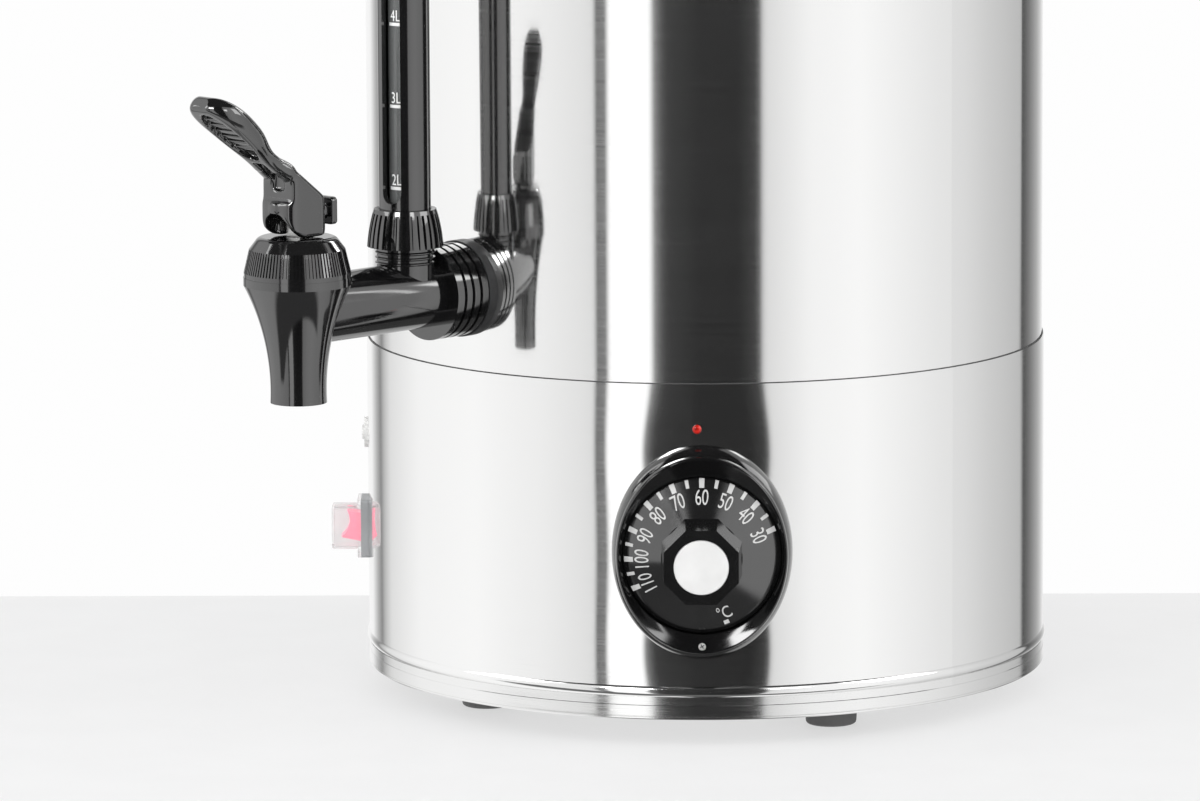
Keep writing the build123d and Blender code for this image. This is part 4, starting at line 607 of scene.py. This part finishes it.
# Tap tee: a black moulded pipe through both walls, sealed by rubber rings and a nut inside.
# Its branch for the gauge is threaded, and three turns of the thread show.
GAUGE_AXIS = Vector((0, -146.9, 0)) * MM
THREAD_LEVELS, THREAD_STEPS = (167.8, 169.6, 171.4), 96
THREAD_ROOT, THREAD_CREST, ROOT_HALF, CREST_HALF = 10.0, 10.55, 0.55, 0.12
gloss_black = moulding("black_plastic", (0.005, 0.005, 0.0052), rough=0.07, grain=2200, depth=0.004 * MM,
                       ior=2.15)
sealant = moulding("seal_rubber", (0.02, 0.02, 0.021), rough=0.5, grain=1500, depth=0.05 * MM)
dress(gloss_black, "tap_tee")
dress(sealant, "outer_seal", "inner_seal")
dress(dark_moulding, "wall_spacer", "lock_nut")
thread = bmesh.new()
for level in THREAD_LEVELS:
    ring(thread, GAUGE_AXIS, (
        (THREAD_ROOT, level - ROOT_HALF), (THREAD_CREST, level - CREST_HALF),
        (THREAD_CREST, level + CREST_HALF), (THREAD_ROOT, level + ROOT_HALF)), THREAD_STEPS)
piece("branch_thread", thread, gloss_black, "dispenser")

# Tap: a trumpet-shaped body glued on the pipe, and a ribbed bonnet screwed down on it.
# Both are glossy black mouldings.
dress(gloss_black, "tap_body", "tap_bonnet")

# Valve: a milky silicone cup on a steel stem, shut by a coil spring under the bonnet's roof.
# A steel pin through the stem carries the lever.
WELD = 0.001 * MM
silicone = moulding("valve_silicone", (0.70, 0.68, 0.63), rough=0.45, grain=700, depth=0.03 * MM, ior=1.42)
dress(silicone, "valve_cup")
dress(fixing, "valve_stem", "lever_pin")


def merged_copy(name):
    """A bmesh of a CAD node's mesh with its loose triangles joined."""
    form = bmesh.new()
    form.from_mesh(nodes[name].data)
    bmesh.ops.remove_doubles(form, verts=form.verts, dist=WELD)
    return form


valve_coil = formed("valve_coil", merged_copy("stem_spring"), fixing)
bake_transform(valve_coil)
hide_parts("stem_spring")

# Lever: one glossy black moulding with a ribbed thumb pad, forked over the stem.
# It rocks on its cam to lift the valve.
# All its edges are slightly rounded, and those of the fork, between two places along it, more so.
LEVER_GRID = 0.35 * MM
FORK_FRONT, FORK_BACK = -211.0 * MM, -186.5 * MM
EDGE_PASSES, FORK_PASSES, SMOOTHING = 3, 28, 0.5
sharp_lever = formed("sharp_lever", merged_copy("tap_lever"), gloss_black)
remesh = sharp_lever.modifiers.new("rounding", "REMESH")
remesh.mode = "VOXEL"
remesh.voxel_size = LEVER_GRID
lever = bmesh.new()
lever.from_object(sharp_lever, bpy.context.evaluated_depsgraph_get())
bpy.data.objects.remove(sharp_lever)
fork = [vertex for vertex in lever.verts if FORK_FRONT < vertex.co.y < FORK_BACK]
for region in [lever.verts] * EDGE_PASSES + [fork] * FORK_PASSES:
    bmesh.ops.smooth_vert(lever, verts=region, factor=SMOOTHING,
                          use_axis_x=True, use_axis_y=True, use_axis_z=True)
rounded_lever = piece("rounded_lever", lever, gloss_black, "lever")
rounded_lever.data.shade_smooth()
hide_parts("tap_lever")

# Sight gauge: a tube in a slotted black sleeve, held by a ribbed nut below and a head above.
# A bar and a figure for each litre are printed on the tube, a litre's depth apart.
TUBE_RADIUS, MARK_AZIMUTH = 5.4, 15.0
LITRES, SECOND_LITRE, LITRE_STEP = range(2, 10), 193.7, 28.35
BAR_WIDTH, BAR_HEIGHT = 5.4, 1.1
LITRE_RISE, LITRE_HEIGHT, LITRE_NARROWING = 3.0, 3.8, 0.74
gauge_clear = clear("gauge_clear", (0.30, 0.31, 0.31), rough=0.05, ior=1.47, cloud=0.05, pass_share=0.6,
                    ripple=0.04 * MM)
dress(sealant, "gauge_seal")
dress(gauge_clear, "gauge_tube")
dress(gloss_black, "gauge_sleeve", "gauge_nut", "gauge_head")
dress(fixing, "head_nut")


def on_tube(x, height):
    """The point on the tube's front, x mm to the right of the marks' middle."""
    out = facing(MARK_AZIMUTH + degrees(x / TUBE_RADIUS))[0]
    return GAUGE_AXIS + out * ((TUBE_RADIUS + PRINT_LIFT) * MM) + UP * (height * MM)


marks = bmesh.new()
for litres in LITRES:
    level = SECOND_LITRE + (litres - LITRES[0]) * LITRE_STEP
    printed_bar(marks, BAR_WIDTH, BAR_HEIGHT, lambda x, y: on_tube(x, level + y))
    printed_text(marks, f"{litres}L", LITRE_HEIGHT, LITRE_NARROWING,
                 lambda x, y: on_tube(x, level + LITRE_RISE + y))
mark_white = moulding("mark_white", (0.92, 0.92, 0.915), rough=0.4, grain=3000, depth=0.004 * MM, ior=1.45)
litre_marks = piece("litre_marks", marks, mark_white, "dispenser")
face_out(litre_marks, facing(MARK_AZIMUTH)[0])

# Side handles: two black mouldings with a grained grip, screwed through the wall from inside.
# The grain is coarser than the tap's, against wet hands.
grip_black = moulding("handle_plastic", (0.018, 0.018, 0.019), rough=0.34, grain=1600, depth=0.06 * MM,
                      ior=1.6)
dress(grip_black, "side_handle_right", "side_handle_left")
dress(fixing, "handle_screws")

# Lid: a spun and polished stainless dome with a seating channel and a grained black knob.
# One screw from below holds the knob.
dress(polished, "lid")
dress(grip_black, "lid_knob")
dress(fixing, "knob_screw")
